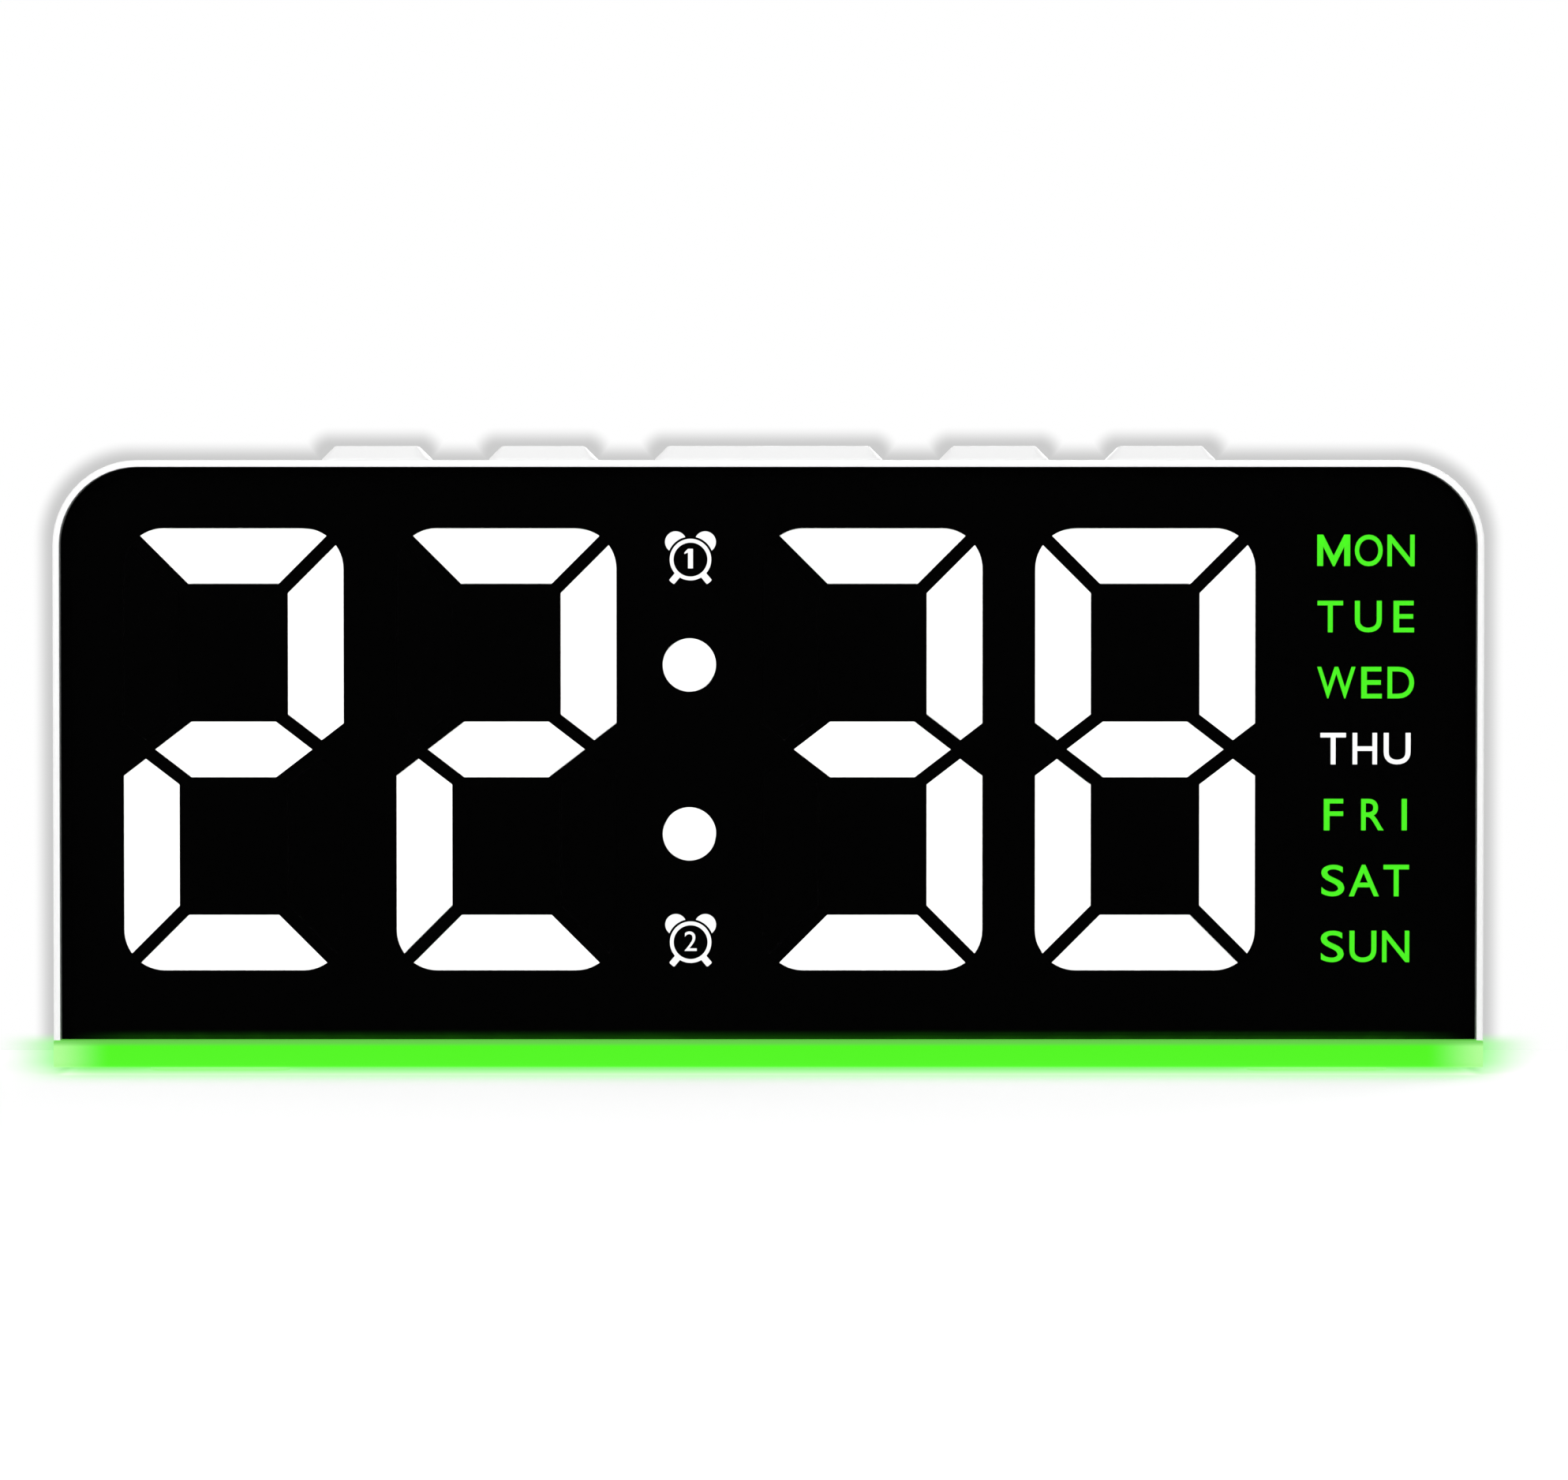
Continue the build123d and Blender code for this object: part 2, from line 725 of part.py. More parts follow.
    # Recesses for the back feet
    with BuildSketch(Plane.XY.offset(base_z)):
        with Locations((-foot_x, back_foot_y), (foot_x, back_foot_y)):
            SlotOverall(foot_length, foot_width)
    extrude(amount=foot_recess, mode=Mode.SUBTRACT)

# Front panel: smoked lens, its tape, and the black mask with its windows
with BuildPart() as front_lens:
    with BuildSketch(facing(lens_y)):
        casing_outline(rim_width + window_gap, panel_bottom_z)
    extrude(amount=-lens_thickness)

with BuildPart() as lens_tape:
    with BuildSketch(facing(tape_y)):
        casing_outline(rim_width + window_gap, panel_bottom_z)
        casing_outline(
            rim_width + tape_width, panel_bottom_z + tape_width, Mode.SUBTRACT
        )
    extrude(amount=-tape_thickness)

with BuildPart() as display_mask:
    with BuildSketch(facing(mask_y)):
        casing_outline(rim_width + window_gap, panel_bottom_z)
    extrude(amount=-mask_thickness)
    with BuildSketch(facing(mask_y)):
        draw_windows()
    extrude(amount=-mask_thickness, mode=Mode.SUBTRACT)

# Display block: walls between the segments, open at the back for the LEDs
with BuildPart() as display_reflector:
    with BuildSketch(facing(ledge_y)):
        with Locations((0, digit_centre_z)):
            Rectangle(2 * reflector_half_width, digit_height + 2 * reflector_border)
    extrude(amount=-reflector_depth)
    with BuildSketch(facing(ledge_y)):
        draw_windows()
        draw_cells(alarm_places, alarm_guide_width, alarm_guide_height, window_gap)
        draw_cells(weekday_places, weekday_guide_width, weekday_guide_height, window_gap)
    extrude(amount=-reflector_depth, mode=Mode.SUBTRACT)

with BuildPart() as colon_dots:
    with BuildSketch(facing(mask_y)):
        with Locations(*dot_places):
            Circle(dot_radius)
    extrude(amount=-insert_depth)

with BuildPart() as alarm_guides:
    with BuildSketch(facing(ledge_y)):
        draw_cells(alarm_places, alarm_guide_width, alarm_guide_height)
    extrude(amount=-insert_depth)

with BuildPart() as weekday_guides:
    with BuildSketch(facing(ledge_y)):
        draw_cells(weekday_places, weekday_guide_width, weekday_guide_height)
    extrude(amount=-insert_depth)

# Display board, its LEDs and the parts on its back
with BuildPart() as main_board:
    with BuildSketch(facing(board_y)):
        with Locations((0, board_centre_z)):
            RectangleRounded(
                2 * board_half_width, board_top_z - board_bottom_z, board_corner_radius
            )
        with Locations(*lug_places):
            Circle(board_screw_radius + fit_gap, mode=Mode.SUBTRACT)
    extrude(amount=-board_thickness)

led_places = dot_places + alarm_places + weekday_places
for digit_x in digit_centres:
    for segment in "abcdefg":
        led_dx, led_dz = segment_middle(segment)
        led_places.append((digit_x + led_dx, digit_centre_z + led_dz))

with BuildPart() as segment_leds:
    with BuildSketch(facing(board_y)):
        draw_cells(led_places, led_width, led_height)
    extrude(amount=led_thickness)

with BuildPart() as clock_chip:
    chip_row_pitch = chip_size + chip_leg_reach
    with BuildSketch(facing(board_back_y)):
        with Locations(chip_place):
            Rectangle(chip_size, chip_size)
    extrude(amount=-chip_height)
    with BuildSketch(facing(board_back_y)):
        with Locations(chip_place):
            with GridLocations(chip_leg_pitch, chip_row_pitch, chip_leg_count, 2):
                Rectangle(chip_leg_pitch / 2, chip_leg_reach)
            with GridLocations(chip_row_pitch, chip_leg_pitch, 2, chip_leg_count):
                Rectangle(chip_leg_reach, chip_leg_pitch / 2)
    extrude(amount=-chip_height / 4)

with BuildPart() as driver_chip:
    with BuildSketch(facing(board_back_y)):
        with Locations(driver_place):
            Rectangle(driver_length, driver_width)
    extrude(amount=-driver_height)
    with BuildSketch(facing(board_back_y)):
        with Locations(driver_place):
            with GridLocations(
                driver_leg_pitch, driver_width + driver_leg_reach, driver_leg_count, 2
            ):
                Rectangle(driver_leg_pitch / 3, driver_leg_reach)
    extrude(amount=-driver_height / 4)

with BuildPart() as crystal:
    with BuildSketch(Plane.YZ.offset(chip_x + crystal_offset - crystal_length / 2)):
        with Locations((board_back_y + crystal_radius, chip_place[1])):
            Circle(crystal_radius)
    extrude(amount=crystal_length)

with BuildPart() as capacitors:
    with BuildSketch(facing(board_back_y)):
        with Locations(capacitor_place):
            with GridLocations(1, capacitor_spacing, 1, 2):
                Circle(capacitor_radius)
    extrude(amount=-capacitor_height)
    fillet(capacitors.edges().group_by(Axis.Y)[-1], capacitor_edge_radius)

with BuildPart() as resistors:
    with BuildSketch(facing(board_back_y)):
        with Locations(resistor_place):
            with GridLocations(resistor_pitch, resistor_row_pitch, resistor_count, 2):
                Rectangle(resistor_length, resistor_width)
    extrude(amount=-resistor_height)

with BuildPart() as buzzer:
    with BuildSketch(facing(board_back_y)):
        with Locations(buzzer_place):
            Circle(buzzer_radius)
    extrude(amount=-buzzer_height)
    with BuildSketch(facing(board_back_y + buzzer_height)):
        with Locations(buzzer_place):
            Circle(buzzer_bore)
    extrude(amount=buzzer_height / 4, mode=Mode.SUBTRACT)

# Key board under the top wall, with a switch below each key
with BuildPart() as key_board:
    with BuildSketch(Plane.XY.offset(key_board_bottom_z)):
        with Locations((0, key_y + (key_board_back - key_board_front) / 2)):
            Rectangle(2 * key_board_half_width, key_board_front + key_board_back)
        with Locations(*post_places):
            Circle(board_screw_radius + fit_gap, mode=Mode.SUBTRACT)
    extrude(amount=small_board_thickness)

with BuildPart() as key_switches:
    key_places = [(key_x, key_y) for key_x, key_width in keys.values()]
    with BuildSketch(Plane.XY.offset(key_board_top_z)):
        draw_cells(key_places, switch_size, switch_size)
    extrude(amount=switch_height)
    with BuildSketch(Plane.XY.offset(switch_top_z)):
        with Locations(*key_places):
            Circle(plunger_radius + pin_gap)
    plunger_sunk = plunger_length - plunger_rise
    extrude(amount=-(plunger_sunk + key_travel + fit_gap), mode=Mode.SUBTRACT)

# Header that joins the key board to the display board
with BuildPart() as key_header:
    header_y = board_back_y + header_standoff
    with BuildSketch(Plane.XY.offset(key_board_bottom_z)):
        with Locations((0, header_y + header_depth / 2)):
            Rectangle(header_pin_count * header_pitch, header_depth)
    extrude(amount=-header_depth)
    with BuildSketch(facing(board_back_y)):
        with Locations((0, key_board_bottom_z - header_depth / 2)):
            with GridLocations(header_pitch, 1, header_pin_count, 1):
                Rectangle(header_pin_size, header_pin_size)
    extrude(amount=-header_standoff)

# Light bar: its glowing nose fills the front foot, its tongue takes the light in
with BuildPart() as light_bar:
    bar_back_y = lens_y + bar_depth
    bar_top_z = base_z + bar_height
    with BuildSketch(Plane.YZ.offset(-body_width / 2)):
        with Locations(((lens_y + bar_back_y) / 2, (base_z + bar_top_z) / 2)):
            Rectangle(bar_depth, bar_height)
    extrude(amount=body_width)
    fillet(
        light_bar.edges().filter_by(Axis.X).group_by(Axis.Z)[0].group_by(Axis.Y)[0],
        bar_edge_radius,
    )
    with BuildSketch(Plane.YZ.offset(fit_gap - inner_half)):
        with Locations(
            (bar_back_y + tongue_depth / 2, bar_top_z - tongue_thickness / 2)
        ):
            Rectangle(tongue_depth, tongue_thickness)
    extrude(amount=2 * (inner_half - fit_gap))

with BuildPart() as light_strip_board:
    strip_centre_z = strip_bottom_z + strip_board_height / 2
    with BuildSketch(facing(strip_led_back_y)):
        with Locations((0, strip_centre_z)):
            Rectangle(strip_board_width, strip_board_height)
    extrude(amount=-strip_board_thickness)

with BuildPart() as light_strip_leds:
    strip_led_pitch = strip_board_width / strip_led_count
    with BuildSketch(facing(strip_led_back_y)):
        with Locations((0, strip_bottom_z + strip_led_height / 2)):
            with GridLocations(strip_led_pitch, 1, strip_led_count, 1):
                Rectangle(strip_led_width, strip_led_height)
    extrude(amount=strip_led_thickness)

# Inlet board with its USB socket
with BuildPart() as inlet_board:
    with BuildSketch(Plane.XY.offset(inlet_board_bottom)):
        with Locations((usb_x, (inlet_board_front_y + inlet_board_back_y) / 2)):
            Rectangle(inlet_board_width, inlet_board_depth)
        with Locations(*inlet_screw_places):
            Circle(board_screw_radius + fit_gap, mode=Mode.SUBTRACT)
    extrude(amount=small_board_thickness)

with BuildPart() as usb_socket:
    usb_round = (usb_height - usb_flat) / 2
    with BuildSketch(facing(usb_mouth_y)):
        with Locations((usb_x, usb_z)):
            RectangleRounded(usb_width, usb_height, usb_round)
    extrude(amount=usb_length)
    with BuildSketch(facing(usb_mouth_y)):
        with Locations((usb_x, usb_z)):
            RectangleRounded(
                usb_width - 2 * usb_shell,
                usb_height - 2 * usb_shell,
                usb_round - usb_shell,
            )
    extrude(amount=usb_length - usb_end_wall, mode=Mode.SUBTRACT)
    with BuildSketch(facing(usb_mouth_y - usb_tongue_setback)):
        with Locations((usb_x, usb_z)):
            Rectangle(usb_tongue_width, usb_tongue_height)
    extrude(amount=usb_length - usb_end_wall)

# Battery contacts: a flat plate at each cell's button end, a spring at the other
bay_left = bay_x - bay_length / 2
bay_right = bay_x + bay_length / 2
cell_y = bay_floor_y + running_gap + cell_radius
cell_rows = [
    bay_z + (row - (cell_count - 1) / 2) * cell_pitch for row in range(cell_count)
]
plate_inset = fit_gap + contact_thickness / 2

with BuildPart() as battery_plates:
    for plate_x in (bay_left + plate_inset, bay_right - plate_inset):
        with BuildSketch(Plane.YZ.offset(plate_x)):
            draw_cells([(cell_y, row_z) for row_z in cell_rows], contact_width, contact_width)
        extrude(amount=contact_thickness / 2, both=True)

with BuildPart() as battery_springs:
    spring_inset = fit_gap + contact_thickness + spring_wire_radius
    spring_ends = [(bay_left + spring_inset, 1), (bay_right - spring_inset, -1)]
    for row, row_z in enumerate(cell_rows):
        spring_x, direction = spring_ends[row % 2]
        turns = coil(
            (spring_x, cell_y, row_z), direction, spring_length, spring_turn_count
        )
        sweep_wire(turns, spring_wire_radius)
        spring_gap = least_gap(turns, spring_turn_count, spring_wire_radius)
        print(f"battery spring {row + 1}: least gap to itself {spring_gap:.2f} mm")

# Battery door: a panel with a rounded hinge edge and two pins
with BuildPart() as battery_door:
    door_top_z = bay_z + door_height / 2
    with BuildSketch(Plane.YZ.offset(bay_x)):
        with Locations((door_inner_y + door_thickness / 2, (hinge_z + door_top_z) / 2)):
            Rectangle(door_thickness, door_top_z - hinge_z)
        with Locations((hinge_y, hinge_z)):
            Circle(hinge_radius)
    extrude(amount=door_length / 2, both=True)
    with BuildSketch(Plane.YZ.offset(bay_x)):
        with Locations((hinge_y, hinge_z)):
            Circle(hinge_pin_radius)
    extrude(amount=pin_reach, both=True)
    with BuildSketch(facing(back_y)):
        with Locations((bay_x, door_top_z - 2 * thumb_slot_width)):
            SlotOverall(thumb_slot_length, thumb_slot_width)
    extrude(amount=thumb_slot_depth, mode=Mode.SUBTRACT)

# Leads between the boards
with BuildPart() as lead_connectors:
    with BuildSketch(facing(board_back_y)):
        draw_cells([connector_place], connector_width, connector_height)
    extrude(amount=-connector_depth)

with BuildPart() as inlet_leads:
    inlet_lead_y = inlet_board_front_y + inlet_lead_setback
    inlet_lead_z = connector_place[1]
    for side in (-1, 1):
        inlet_lead_x = usb_x + side * inlet_lead_pitch / 2
        inlet_route = wire_path(
            [
                (inlet_lead_x, board_back_y + connector_depth, inlet_lead_z),
                (inlet_lead_x, inlet_lead_y, inlet_lead_z),
                (inlet_lead_x, inlet_lead_y, inlet_board_top),
            ],
            lead_bend,
        )
        sweep_wire(inlet_route, lead_radius)

with BuildPart() as battery_leads:
    battery_turn_y = (board_back_y + bay_floor_y) / 2
    battery_lead_reach = bay_length / 2 + bay_wall + fit_gap + lead_radius
    for side, row_z in ((-1, cell_rows[0]), (1, cell_rows[-1])):
        battery_lead_x = bay_x + side * battery_lead_reach
        battery_low_z = row_z - battery_lead_drop
        battery_route = wire_path(
            [
                (battery_lead_x, bay_floor_y + battery_lead_run, row_z),
                (battery_lead_x, battery_turn_y + battery_lead_jog, row_z),
                (battery_lead_x, battery_turn_y - battery_lead_jog, battery_low_z),
                (battery_lead_x, board_back_y, battery_low_z),
            ],
            lead_bend,
        )
        sweep_wire(battery_route, lead_radius)

with BuildPart() as strip_leads:
    strip_lead_y = strip_back_y + strip_lead_reach
    strip_lead_low_z = strip_bottom_z + strip_board_height / 2
    strip_lead_high_z = board_bottom_z + strip_lead_rise
    for lead in (-1, 0, 1):
        strip_lead_place = strip_lead_x + lead * strip_lead_pitch
        strip_route = wire_path(
            [
                (strip_lead_place, strip_back_y, strip_lead_low_z),
                (strip_lead_place, strip_lead_y, strip_lead_low_z),
                (strip_lead_place, strip_lead_y, strip_lead_high_z),
                (strip_lead_place, board_back_y, strip_lead_high_z),
            ],
            strip_lead_bend,
        )
        sweep_wire(strip_route, lead_radius)

# Rubber feet, pressed into the casing and the cover
with BuildPart() as rubber_feet:
    with BuildSketch(Plane.XY):
        for foot_y in (front_foot_y, back_foot_y):
            with Locations((-foot_x, foot_y), (foot_x, foot_y)):
                SlotOverall(foot_length - 2 * fit_gap, foot_width - 2 * fit_gap)
    extrude(amount=foot_rise + foot_recess)

# Screws
with BuildPart() as cover_screws:
    with BuildSketch(facing(head_seat_y)):
        with Locations(*boss_places):
            Circle(cover_head_radius)
    extrude(amount=-cover_head_height)
    with BuildSketch(facing(head_seat_y)):
        with Locations(*boss_places):
            Circle(cover_screw_radius)
    extrude(amount=cover_screw_length)
    with BuildSketch(facing(head_seat_y + cover_head_height)):
        draw_recesses(boss_places, cover_head_radius)
    extrude(amount=cover_head_height * recess_share, mode=Mode.SUBTRACT)

with BuildPart() as board_screws:
    recess_depth = board_head_height * recess_share
    with BuildSketch(facing(board_y)):
        with Locations(*lug_places):
            Circle(board_head_radius)
    extrude(amount=board_head_height)
    with BuildSketch(facing(board_y)):
        with Locations(*lug_places):
            Circle(board_screw_radius)
    extrude(amount=-board_screw_length)
    with BuildSketch(facing(board_y - board_head_height)):
        draw_recesses(lug_places, board_head_radius)
    extrude(amount=-recess_depth, mode=Mode.SUBTRACT)
    with BuildSketch(Plane.XY.offset(key_board_bottom_z)):
        with Locations(*post_places):
            Circle(board_head_radius)
    extrude(amount=-board_head_height)
    with BuildSketch(Plane.XY.offset(key_board_bottom_z)):
        with Locations(*post_places):
            Circle(board_screw_radius)
    extrude(amount=board_screw_length)
    with BuildSketch(Plane.XY.offset(key_board_bottom_z - board_head_height)):
        draw_recesses(post_places, board_head_radius)
    extrude(amount=recess_depth, mode=Mode.SUBTRACT)
    with BuildSketch(Plane.XY.offset(inlet_board_top)):
        with Locations(*inlet_screw_places):
            Circle(board_head_radius)
    extrude(amount=board_head_height)
    with BuildSketch(Plane.XY.offset(inlet_board_top)):
        with Locations(*inlet_screw_places):
            Circle(board_screw_radius)
    extrude(amount=-board_screw_length)
    with BuildSketch(Plane.XY.offset(inlet_board_top + board_head_height)):
        draw_recesses(inlet_screw_places, board_head_radius)
    extrude(amount=-recess_depth, mode=Mode.SUBTRACT)

pieces = {
    "housing": housing,
    "rear_cover": rear_cover,
    "front_lens": front_lens,
    "lens_tape": lens_tape,
    "display_mask": display_mask,
    "display_reflector": display_reflector,
    "colon_dots": colon_dots,
    "alarm_guides": alarm_guides,
    "weekday_guides": weekday_guides,
    "main_board": main_board,
    "segment_leds": segment_leds,
    "clock_chip": clock_chip,
    "driver_chip": driver_chip,
    "crystal": crystal,
    "capacitors": capacitors,
    "resistors": resistors,
    "buzzer": buzzer,
    "key_board": key_board,
    "key_switches": key_switches,
    "key_header": key_header,
    "light_bar": light_bar,
    "light_strip_board": light_strip_board,
    "light_strip_leds": light_strip_leds,
    "inlet_board": inlet_board,
    "usb_socket": usb_socket,
    "battery_plates": battery_plates,
    "battery_springs": battery_springs,
    "battery_door": battery_door,
    "lead_connectors": lead_connectors,
    "inlet_leads": inlet_leads,
    "battery_leads": battery_leads,
    "strip_leads": strip_leads,
    "rubber_feet": rubber_feet,
    "cover_screws": cover_screws,
    "board_screws": board_screws,
}

# Keys: a hollow cap with a flange under the top wall and a stem that stands on
# its switch's plunger. The plunger rides with the key.
for key_name, (key_x, key_width) in keys.items():
    with BuildPart() as key:
        with BuildSketch(Plane.XY.offset(flange_top_z)):
            with Locations((key_x, key_y)):
                RectangleRounded(key_width, key_depth, key_corner_radius)
        extrude(amount=key_top_z - flange_top_z)
        chamfer(key.edges().group_by(Axis.Z)[-1], key_slope)
        key_bevel = key.edges().filter_by_position(
            Axis.Z, key_top_z - key_slope, key_top_z
        )
        fillet(key_bevel.group_by(Axis.Z)[0] + key_bevel.group_by(Axis.Z)[-1], key_edge_radius)
        with BuildSketch(Plane.XY.offset(flange_bottom_z)):
            with Locations((key_x, key_y)):
                RectangleRounded(
                    key_width + 2 * key_flange,
                    key_depth + 2 * key_flange,
                    key_corner_radius + key_flange,
                )
        extrude(amount=key_flange_thickness)
        with BuildSketch(Plane.XY.offset(flange_bottom_z)):
            with Locations((key_x, key_y)):
                Rectangle(key_width - 2 * key_wall, key_depth - 2 * key_wall)
        extrude(amount=key_top_z - key_wall - flange_bottom_z, mode=Mode.SUBTRACT)
        with BuildSketch(Plane.XY.offset(stem_bottom_z)):
            with Locations((key_x, key_y)):
                Rectangle(key_stem, key_stem)
        extrude(amount=key_top_z - key_wall / 2 - stem_bottom_z)
    pieces[key_name] = key

    with BuildPart() as plunger:
        with BuildSketch(Plane.XY.offset(stem_bottom_z)):
            with Locations((key_x, key_y)):
                Circle(plunger_radius)
        extrude(amount=-plunger_length)
    pieces[key_name.replace("key", "plunger")] = plunger

# Digits: the lit segments and the dark ones are separate light guides
for digit_name, centre_x, lit in zip(digit_names, digit_centres, lit_segments):
    dark = [segment for segment in "abcdefg" if segment not in lit]
    for state, segments in (("lit", lit), ("dark", dark)):
        if not segments:
            continue
        with BuildPart() as guides:
            with BuildSketch(facing(mask_y)):
                for segment in segments:
                    draw_segment(segment, centre_x)
            extrude(amount=-insert_depth)
        pieces[f"{digit_name}_{state}"] = guides

os.makedirs("parts", exist_ok=True)
for piece_name, piece in pieces.items():
    piece.part.label = piece_name
    export_step(piece.part, f"parts/{piece_name}.step")
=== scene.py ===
from math import atan2, cos, pi, radians, sin

import bpy
from bpy.props import FloatProperty, FloatVectorProperty, PointerProperty
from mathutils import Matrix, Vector


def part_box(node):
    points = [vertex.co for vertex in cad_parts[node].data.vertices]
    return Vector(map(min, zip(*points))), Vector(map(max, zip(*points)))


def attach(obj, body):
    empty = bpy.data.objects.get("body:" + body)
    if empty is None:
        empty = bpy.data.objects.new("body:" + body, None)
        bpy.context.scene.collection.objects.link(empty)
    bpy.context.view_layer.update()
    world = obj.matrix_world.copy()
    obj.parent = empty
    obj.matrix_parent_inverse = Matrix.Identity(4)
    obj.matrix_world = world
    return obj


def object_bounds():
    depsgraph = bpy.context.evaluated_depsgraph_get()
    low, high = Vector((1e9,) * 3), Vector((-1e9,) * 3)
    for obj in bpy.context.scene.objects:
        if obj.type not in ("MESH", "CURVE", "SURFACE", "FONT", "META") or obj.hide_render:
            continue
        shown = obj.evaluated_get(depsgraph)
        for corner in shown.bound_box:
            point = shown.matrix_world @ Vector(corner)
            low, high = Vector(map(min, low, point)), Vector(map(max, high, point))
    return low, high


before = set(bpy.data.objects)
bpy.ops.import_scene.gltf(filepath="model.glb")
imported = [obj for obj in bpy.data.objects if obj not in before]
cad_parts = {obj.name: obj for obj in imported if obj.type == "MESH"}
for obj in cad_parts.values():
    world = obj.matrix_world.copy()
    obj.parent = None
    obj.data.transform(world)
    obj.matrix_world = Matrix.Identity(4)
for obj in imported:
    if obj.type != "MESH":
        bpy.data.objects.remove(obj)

bl_info = {
    "name": "Digital Alarm Clock",
    "version": (1, 0, 0),
    "blender": (4, 5, 0),
    "location": "3D View > Sidebar > Clock",
    "description": "Finishes and display of a low digital alarm clock",
    "category": "Object",
}

cad_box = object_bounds()
lens_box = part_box("front_lens")
mask_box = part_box("display_mask")
weekday_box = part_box("weekday_guides")
alarm_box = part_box("alarm_guides")
bar_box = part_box("light_bar")
plate_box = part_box("battery_plates")
key_names = ("mode", "alarm", "snooze", "down", "up")
key_flange = 0.001  # round a key's foot, inside the casing
weekday_guide_height = 0.0046
alarm_guide_height = 0.0066

# Lit marks lie in the air gap between the lens and the mask.
mark_y = (lens_box[1].y + mask_box[0].y) / 2
mark_depth = 0.00006

# Words from the bottom row up, and their widths
weekday_words = {
    "SUN": 0.00993,
    "SAT": 0.00984,
    "FRI": 0.00931,
    "THU": 0.01011,
    "WED": 0.01086,
    "TUE": 0.01082,
    "MON": 0.0109,
}
todays_word = "THU"
word_rise = 0.0001  # above the middle of its guide

# Letters' widths over their height
letter_widths = {
    "A": 0.95,
    "D": 0.84,
    "E": 0.65,
    "F": 0.615,
    "H": 0.775,
    "I": 0.165,
    "M": 1.04,
    "N": 0.86,
    "O": 0.88,
    "R": 0.715,
    "S": 0.73,
    "T": 0.81,
    "U": 0.85,
    "W": 1.215,
}
letter_weight = 0.007  # thickens the font's strokes, in units of its size

# How far from the clock's middle the bar's light starts to fade, and ends: painted on the lens, in
# the bar's own glow, and painted on the floor and wall
lens_fade = (0.068, 0.079)
bar_fade = (0.0735, 0.0812)
spill_fade = (0.0795, 0.0915)

# The camera looks at a point near the front's middle, from a little above it.
view_width = 0.17516
view_centre = Vector((0.00175, cad_box[0].y, 0.03752))
view_lens = 150.0
view_sensor = 36.0
view_distance = view_width * view_lens / view_sensor
view_height = 0.058
eye = Vector((view_centre.x, view_centre.y - view_distance, view_height))
backdrop_y = cad_box[1].y + 0.002


class ClockFinishProperties(bpy.types.PropertyGroup):
    casing_color: FloatVectorProperty(
        name="Casing",
        description="Colour of the white casing, its cover and the battery door",
        subtype="COLOR",
        default=(0.95, 0.95, 0.948),
        min=0.0,
        max=1.0,
    )
    key_color: FloatVectorProperty(
        name="Keys",
        description="Colour of the five keys",
        subtype="COLOR",
        default=(0.86, 0.86, 0.86),
        min=0.0,
        max=1.0,
    )
    grain_size: FloatProperty(
        name="Grain",
        description="Width of one grain of the moulded plastic's satin surface",
        subtype="DISTANCE",
        unit="LENGTH",
        default=0.00035,
        min=0.00005,
    )
    lens_tint: FloatProperty(
        name="Lens tint",
        description="Share of light that each face of the smoked lens holds back",
        subtype="FACTOR",
        default=0.3,
        min=0.0,
        max=1.0,
    )


class ClockDisplayProperties(bpy.types.PropertyGroup):
    digit_color: FloatVectorProperty(
        name="Digits",
        description="Colour of the lit digits, the colon and the alarm symbols",
        subtype="COLOR",
        default=(1.0, 1.0, 1.0),
        min=0.0,
        max=1.0,
    )
    digit_glow: FloatProperty(
        name="Digit glow",
        description="Strength of the digits' light behind the smoked lens",
        default=1.96,
        min=0.0,
    )
    legend_color: FloatVectorProperty(
        name="Weekdays",
        description="Colour of the weekday words that aren't today's",
        subtype="COLOR",
        default=(0.075, 0.92, 0.016),
        min=0.0,
        max=1.0,
    )
    letter_height: FloatProperty(
        name="Letter height",
        description="Height of the weekday words' capitals",
        subtype="DISTANCE",
        unit="LENGTH",
        default=0.00354,
        min=0.0005,
    )
    bar_color: FloatVectorProperty(
        name="Foot bar",
        description="Colour of the bar that glows along the front foot",
        subtype="COLOR",
        default=(0.087, 0.947, 0.013),
        min=0.0,
        max=1.0,
    )


class ClockStageProperties(bpy.types.PropertyGroup):
    floor_color: FloatVectorProperty(
        name="Floor",
        description="Colour of the floor under the clock",
        subtype="COLOR",
        default=(0.8, 0.8, 0.8),
        min=0.0,
        max=1.0,
    )
    lamp_power: FloatProperty(
        name="Key lamp",
        description="Power of the large lamp at the upper left",
        subtype="POWER",
        unit="POWER",
        default=8.0,
        min=0.0,
    )
    sky_light: FloatProperty(
        name="Sky light",
        description="Strength of the even light from all round",
        default=0.46,
        min=0.0,
    )


class Shade:
    """One output of a node tree, which sums can be written with."""

    def __init__(self, tree, socket):
        self.tree = tree
        self.socket = socket

    def math(self, operation, first, second):
        return self.tree.node("ShaderNodeMath", {"operation": operation}, {0: first, 1: second})

    def __add__(self, other):
        return self.math("ADD", self, other)

    def __sub__(self, other):
        return self.math("SUBTRACT", self, other)

    def __mul__(self, other):
        return self.math("MULTIPLY", self, other)

    def __rsub__(self, other):
        return self.math("SUBTRACT", other, self)

    __radd__ = __add__
    __rmul__ = __mul__

    def absolute(self):
        return self.math("ABSOLUTE", self, 0.0)

    def root(self):
        return self.math("SQRT", self, 0.0)

    def largest(self, other):
        return self.math("MAXIMUM", self, other)

    def smallest(self, other):
        return self.math("MINIMUM", self, other)


